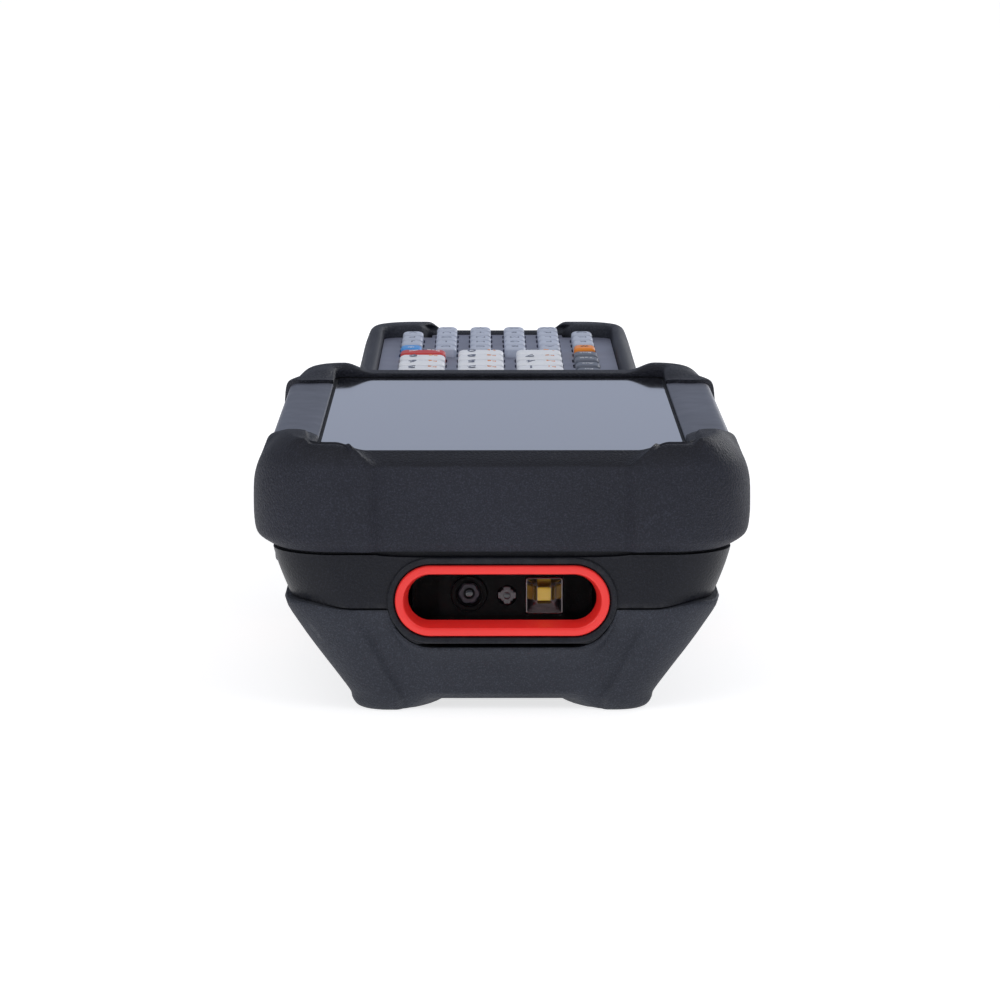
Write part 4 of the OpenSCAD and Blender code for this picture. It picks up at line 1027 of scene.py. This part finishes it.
def build_keypad():
    alphabet = iter("ABCDEFGHIJKLMNOPQRSTUVWXYZ")
    rows = {}
    for row in (4, 3, 2, 1, 0):
        first = 1 if row in (0, 4) else 0
        rows[row] = [((LETTER_X[c], ROW_DEPTHS[row], *LETTER_CAP, KEY_TOP), next(alphabet))
                     for c in reversed(range(first, 6 - first))]
    for row in range(5):
        build_key(f"letter_row_{row + 1}", [place for place, _ in rows[row]], KEY_GREY,
                  [[(letter, 3.1, 0, 0.2, INK_GREY)] for _, letter in rows[row]])
    numbers = "<0.987654321"
    marks = ("Esc", "( )", "- _", "F9", "F8", "F7", "F6", "F5", "F4", "F3", "F2", "F1")
    for i in range(12):
        place = (NUMBER_X[i % 3], NUMBER_DEPTHS[i // 3], *NUMBER_CAP, KEY_TOP + 0.4)
        words = [(numbers[i], 4.0, -1.9, 0, INK_LIGHT if i == 0 else INK_GREY)]
        words.append((marks[i], 2.1, 2.2, 0.3, INK_LIGHT if i == 0 else INK_ORANGE))
        build_key(f"key_{i + 1}", [place], KEY_RED if i == 0 else KEY_WHITE, [words])
    nav, row = NAV_DEPTH, ROW_DEPTHS[4]
    singles = [(f"side_key_{i + 1}", (SIDE_KEY_X, NUMBER_DEPTHS[i], *SIDE_CAP, KEY_TOP - 0.2), KEY_DARK,
                (word, 1.9, 0, 0, INK_LIGHT)) for i, word in enumerate(("Ent", "Tab", "Alt", "Fn"))]
    singles += [
        ("blue_key", (LETTER_X[0], row, *LETTER_CAP, KEY_TOP), KEY_BLUE, ("*", 3.4, 0, -0.6, INK_LIGHT)),
        ("orange_key", (LETTER_X[5], row, *LETTER_CAP, KEY_TOP), KEY_ORANGE, ("#", 2.8, 0, 0, INK_DARK)),
        ("scan_key", (0, nav, 15.0, 8.0, KEY_TOP + 0.6), KEY_ORANGE, ("| || |", 3.2, 0, 0.2, INK_DARK))]
    # The user's up is towards the display, and the user's left is +X.
    singles += [(name + "_key", (x, nav + step, w, length, KEY_TOP), KEY_DARK, (word, 2.8, 0, 0, INK_LIGHT))
                for name, x, step, w, length, word in (
                    ("up", 0, -NAV_STEP_Y, 11.0, 5.0, "^"), ("down", 0, NAV_STEP_Y, 11.0, 5.0, "v"),
                    ("left", NAV_STEP_X, 0, 7.0, 9.0, "<"), ("right", -NAV_STEP_X, 0, 7.0, 9.0, ">"))]
    singles += [("power_key", (POWER_X, nav + POWER_STEP_Y, 5.0, 5.0, KEY_TOP - 0.4), KEY_RED,
                 ("O", 2.2, 0, 0, INK_LIGHT))]
    for node, place, mat, legend in singles:
        build_key(node, [place], mat, [[legend]])


def build_side_keys():
    """Triggers and rocker with rounded faces and moulded ribs."""
    for node, side in (("right_trigger", 1), ("left_trigger", -1)):
        bm = bmesh.new()
        levels = [(-1, 31.8), (-1, 33.0), (0, 33.0)] + fillet(39.2, 0.9)
        levels += [(1.4, 39.2), (1.6, 39.0), (1.9, 38.95), (3.0, 38.9)]
        add_stack(bm, lambda u, v, h, d=side: (d * h, TRIGGER_DEPTH + v, SIDE_KEY_Z + u),
                  SIDE_KEY_H, TRIGGER_L, 2.0, levels)
        for k in range(-4, 5):
            add_stack(bm, lambda u, v, h, d=side, c=k: (d * h, TRIGGER_DEPTH + 2.2 * c + v, SIDE_KEY_Z + u),
                      2.6, 0.8, 0.38, [(0, 38.6)] + fillet(39.18, 0.3, 3))
        show(finish_mesh(node + "_pad", bm, 40), TRIGGER, node)
    bm = bmesh.new()
    levels = [(0, 34.4)] + fillet(39.1, 0.8) + [(1.6, 39.1), (1.9, 38.9), (2.6, 38.9)]
    add_stack(bm, lambda u, v, h: (-h, ROCKER_DEPTH + v, SIDE_KEY_Z + u),
              SIDE_KEY_H, ROCKER_L - 0.6, 2.0, levels)
    for centre, length, width in ((-6.3, 0.5, 2.4), (6.3, 0.5, 2.4), (6.3, 2.4, 0.5)):
        add_stack(bm, lambda u, v, h, c=centre: (-h, ROCKER_DEPTH + c + v, SIDE_KEY_Z + u),
                  width, length, 0.2, [(0, 38.6)] + fillet(39.08, 0.15, 2))
    show(finish_mesh("volume_rocker_pad", bm, 40), ROCKER, "volume_rocker")


def build_battery():
    """Battery pack and latch, seen from below."""
    centre = (BATTERY_FRONT + BATTERY_REAR) / 2
    bm = bmesh.new()
    levels = [(0, -27), (0, -9.4)] + fillet(-7.8, 0.8)
    levels += [(2.4, -7.8), (2.7, -8.1), (3.5, -8.1), (3.8, -7.8), (6, -7.8)]
    add_stack(bm, lambda u, v, h: (u, centre + v, -h), BATTERY_W, BATTERY_REAR - BATTERY_FRONT, 3.0, levels)
    for k in range(5):
        add_stack(bm, lambda u, v, h, c=k: (u, BATTERY_REAR - 9 - 2.6 * c + v, -h), 16 - 1.6 * k, 1.2, 0.55,
                  [(0, -8.1)] + fillet(-7.3, 0.35, 3))
    show(finish_mesh("battery_pack_case", bm, 40), BATTERY, "battery_pack")
    bm = bmesh.new()
    middle = LATCH_FRONT + LATCH_L / 2
    add_stack(bm, lambda u, v, h: (u, middle + v, -h), LATCH_W, LATCH_L, 1.5,
              [(0, -12), (0, -9)] + fillet(-8.1, 0.5) + [(1.2, -8.1)])
    for k in range(3):
        add_stack(bm, lambda u, v, h, c=k: (u, LATCH_FRONT + 1.7 + 1.4 * c + v, -h), 10, 0.6, 0.28,
                  [(0, -8.4)] + fillet(-7.6, 0.25, 3))
    show(finish_mesh("battery_latch_slide", bm, 40), LATCH, "battery_latch")


# ---------------- imager
IMAGER_X, IMAGER_Z, AIMER_X, AIMER_Z, LAMP_X, LAMP_Z = -5.5, 19.6, 0.8, 19.3, 7.0, 19.25


def turned(name, profile, cx, cz, steps=48):
    """Turns a profile of (radius, depth) points round an axis that runs along the depth."""
    bm = bmesh.new()
    rings = []
    for r, y in profile:
        turn = full_turn(steps) if r else [0.0]
        rings.append([bm.verts.new(to_frame((cx + r * math.cos(a), y, cz + r * math.sin(a)))) for a in turn])
    for a, b in zip(rings, rings[1:]):
        for k in range(steps):
            n = (k + 1) % steps
            bm.faces.new(loop_of(a[k % len(a)], b[k % len(b)], b[n % len(b)], a[n % len(a)]))
    return finish_mesh(name, bm, 35)


def lobed(bm, cx, cz, radius, lobe, count, y0, y1):
    """A closed disc with a lobed rim, like a moulded lens cap, between two depths."""
    rings = []
    for y, shrink in ((y1, 0), (y0 + 0.15, 0), (y0, 0.15)):
        ring = []
        for a in full_turn(72):
            r = radius - shrink + lobe * math.cos(count * a)
            ring.append(bm.verts.new(to_frame((cx + r * math.cos(a), y, cz + r * math.sin(a)))))
        rings.append(ring)
    bm.faces.new(rings[0])
    for a, b in zip(rings, rings[1:]):
        join_edges(bm, a, b, True)
    bm.faces.new(rings[-1])


def build_imager():
    barrel = turned("imager_barrel", [(0, 14.3), (3.0, 14.3), (3.0, 7.45), (2.85, 7.32), (2.25, 7.32),
                                      (2.1, 7.6), (2.1, 8.3), (0, 8.3)], IMAGER_X, IMAGER_Z)
    show(barrel, BLACK, "imager_lens")
    bm = bmesh.new()
    lobed(bm, IMAGER_X, IMAGER_Z, 1.7, 0.09, 6, 7.75, 8.25)
    detail(finish_mesh("imager_cap", bm, 35), BLACK_SATIN, "root")
    seat = turned("imager_seat", [(0, 7.78), (0.95, 7.78), (0.95, 7.66), (0.85, 7.6), (0.7, 7.6), (0.62, 7.7),
                                  (0, 7.7)], IMAGER_X, IMAGER_Z)
    detail(seat, BLACK, "root")
    lens = turned("imager_lens_glass", [(0, 7.74), (0.6, 7.74), (0.6, 7.66), (0.45, 7.6), (0.2, 7.57),
                                        (0, 7.56)], IMAGER_X, IMAGER_Z)
    detail(lens, LENS, "root")

    bm = bmesh.new()
    for w, length in ((3.0, 1.2), (1.2, 3.0), (2.0, 2.0)):
        add_stack(bm, lambda u, v, h: (AIMER_X + u, -h, AIMER_Z + v), w, length, 0.25,
                  [(0, -11.2)] + fillet(-7.42 - 0.04 * w, 0.18, 3))
    show(finish_mesh("aimer_cross", bm, 40), AIMER, "aimer_lens")
    eye = turned("aimer_eye", [(0, 8), (0.62, 8), (0.62, 7.3), (0.5, 7.2), (0.3, 7.16), (0, 7.15)],
                 AIMER_X, AIMER_Z, 24)
    detail(eye, LENS, "root")

    horn = [(0, -10.6)] + fillet(-7.3, 0.2, 3)
    horn += [(0.22, -7.3), (0.35, -7.5), (0.9, -8.4), (1.35, -9.0), (1.9, -9.4)]
    chip = [(0, -9.6)] + fillet(-8.9, 0.2, 3)
    for name, size, corner, levels, sharp_deg, mat, node in (
            ("illuminator_horn", 6.2, 0.5, horn, 25, REFLECTOR, "illuminator"),
            ("illuminator_chip", 2.3, 0.3, chip, 30, LED, "illuminator_led")):
        bm = bmesh.new()
        add_stack(bm, lambda u, v, h: (LAMP_X + u, -h, LAMP_Z + v), size, size, corner, levels)
        show(finish_mesh(name, bm, sharp_deg), mat, node)


build_head_ring()
build_glass_border()
build_keypad()
build_side_keys()
build_battery()
build_imager()
build_head_shell()
build_bezel()
build_lower_cover()
build_handle()


# ---------------- camera, floor, light
CAMERA_X, CAMERA_DISTANCE, CAMERA_Z = -0.00338, 0.66525, 0.14033
CAMERA_LENS, CAMERA_DIP, CAMERA_TURN = 147.9, 8.868, -0.257
FLOOR_HALF, FLOOR_GLOW, SUN_POWER = 6.0, 0.72, 0.75


def add_camera():
    data = bpy.data.cameras.new("camera")
    data.lens = CAMERA_LENS
    data.sensor_width = 36.0
    data.clip_start = 0.05
    data.clip_end = 30.0
    cam = new_object("camera", data)
    cam.location = (CAMERA_X, NOSE_Y - CAMERA_DISTANCE, CAMERA_Z)
    cam.rotation_euler = (math.radians(90 - CAMERA_DIP), 0.0, math.radians(CAMERA_TURN))
    bpy.context.scene.camera = cam


def add_area(name, location, target, size, power):
    """A square area light."""
    data = bpy.data.lights.new(name, "AREA")
    data.shape = "RECTANGLE"
    data.size = data.size_y = size
    data.energy = power
    light = new_object(name, data)
    light.location = location
    light.rotation_euler = (Vector(target) - Vector(location)).to_track_quat("-Z", "Y").to_euler()


def see_through_from_below(mat):
    """Makes a floor's underside transparent, so that the object can be looked at from below."""
    tree = mat.node_tree
    side = tree.nodes.new("ShaderNodeNewGeometry")
    clear = tree.nodes.new("ShaderNodeBsdfTransparent")
    either = tree.nodes.new("ShaderNodeMixShader")
    tree.links.new(side.outputs["Backfacing"], either.inputs["Fac"])
    tree.links.new(tree.nodes["Principled BSDF"].outputs["BSDF"], either.inputs[1])
    tree.links.new(clear.outputs["BSDF"], either.inputs[2])
    tree.links.new(either.outputs["Shader"], tree.nodes["Material Output"].inputs["Surface"])


def add_stage():
    bm = bmesh.new()
    bmesh.ops.create_grid(bm, x_segments=1, y_segments=1, size=FLOOR_HALF)
    floor = mesh_object("floor", bm)
    pale = moulded("floor_pale", (200, 200, 202), rough=0.9, vary=0.01, specular=0.05)
    set_inputs(pale.node_tree.nodes["Principled BSDF"],
               {"Emission Color": grey(1), "Emission Strength": FLOOR_GLOW})
    see_through_from_below(pale)
    floor.data.materials.append(pale)
    world = bpy.data.worlds.new("studio")
    bpy.context.scene.world = world
    world.use_nodes = True
    tree = world.node_tree
    back = tree.nodes["Background"]
    direction = tree.nodes.new("ShaderNodeTexCoord")
    axes = tree.nodes.new("ShaderNodeSeparateXYZ")
    tree.links.new(direction.outputs["Generated"], axes.inputs["Vector"])
    card = ramp(tree, axes.outputs["Y"], ((0.55, (0.26, 0.27, 0.3, 1)), (0.86, (0.38, 0.42, 0.53, 1))))
    tree.links.new(card, back.inputs["Color"])
    sky = bpy.data.lights.new("overhead", "SUN")
    sky.energy = SUN_POWER
    sky.angle = math.radians(70)
    sky.color = (1.0, 0.97, 0.9)
    overhead = new_object("overhead", sky)
    overhead.rotation_euler = (math.radians(14), math.radians(-8), 0)
    add_area("front_left", (-0.9, -1.1, 0.7), (0, -0.05, 0.02), 0.7, 4)
    add_area("front_right", (1.0, -0.9, 0.8), (0, -0.05, 0.02), 0.6, 3)
    add_area("back_right", (0.6, 0.8, 0.4), (0.02, 0, 0.03), 0.4, 3)


add_camera()
add_stage()
bpy.context.scene.view_settings.view_transform = "Standard"
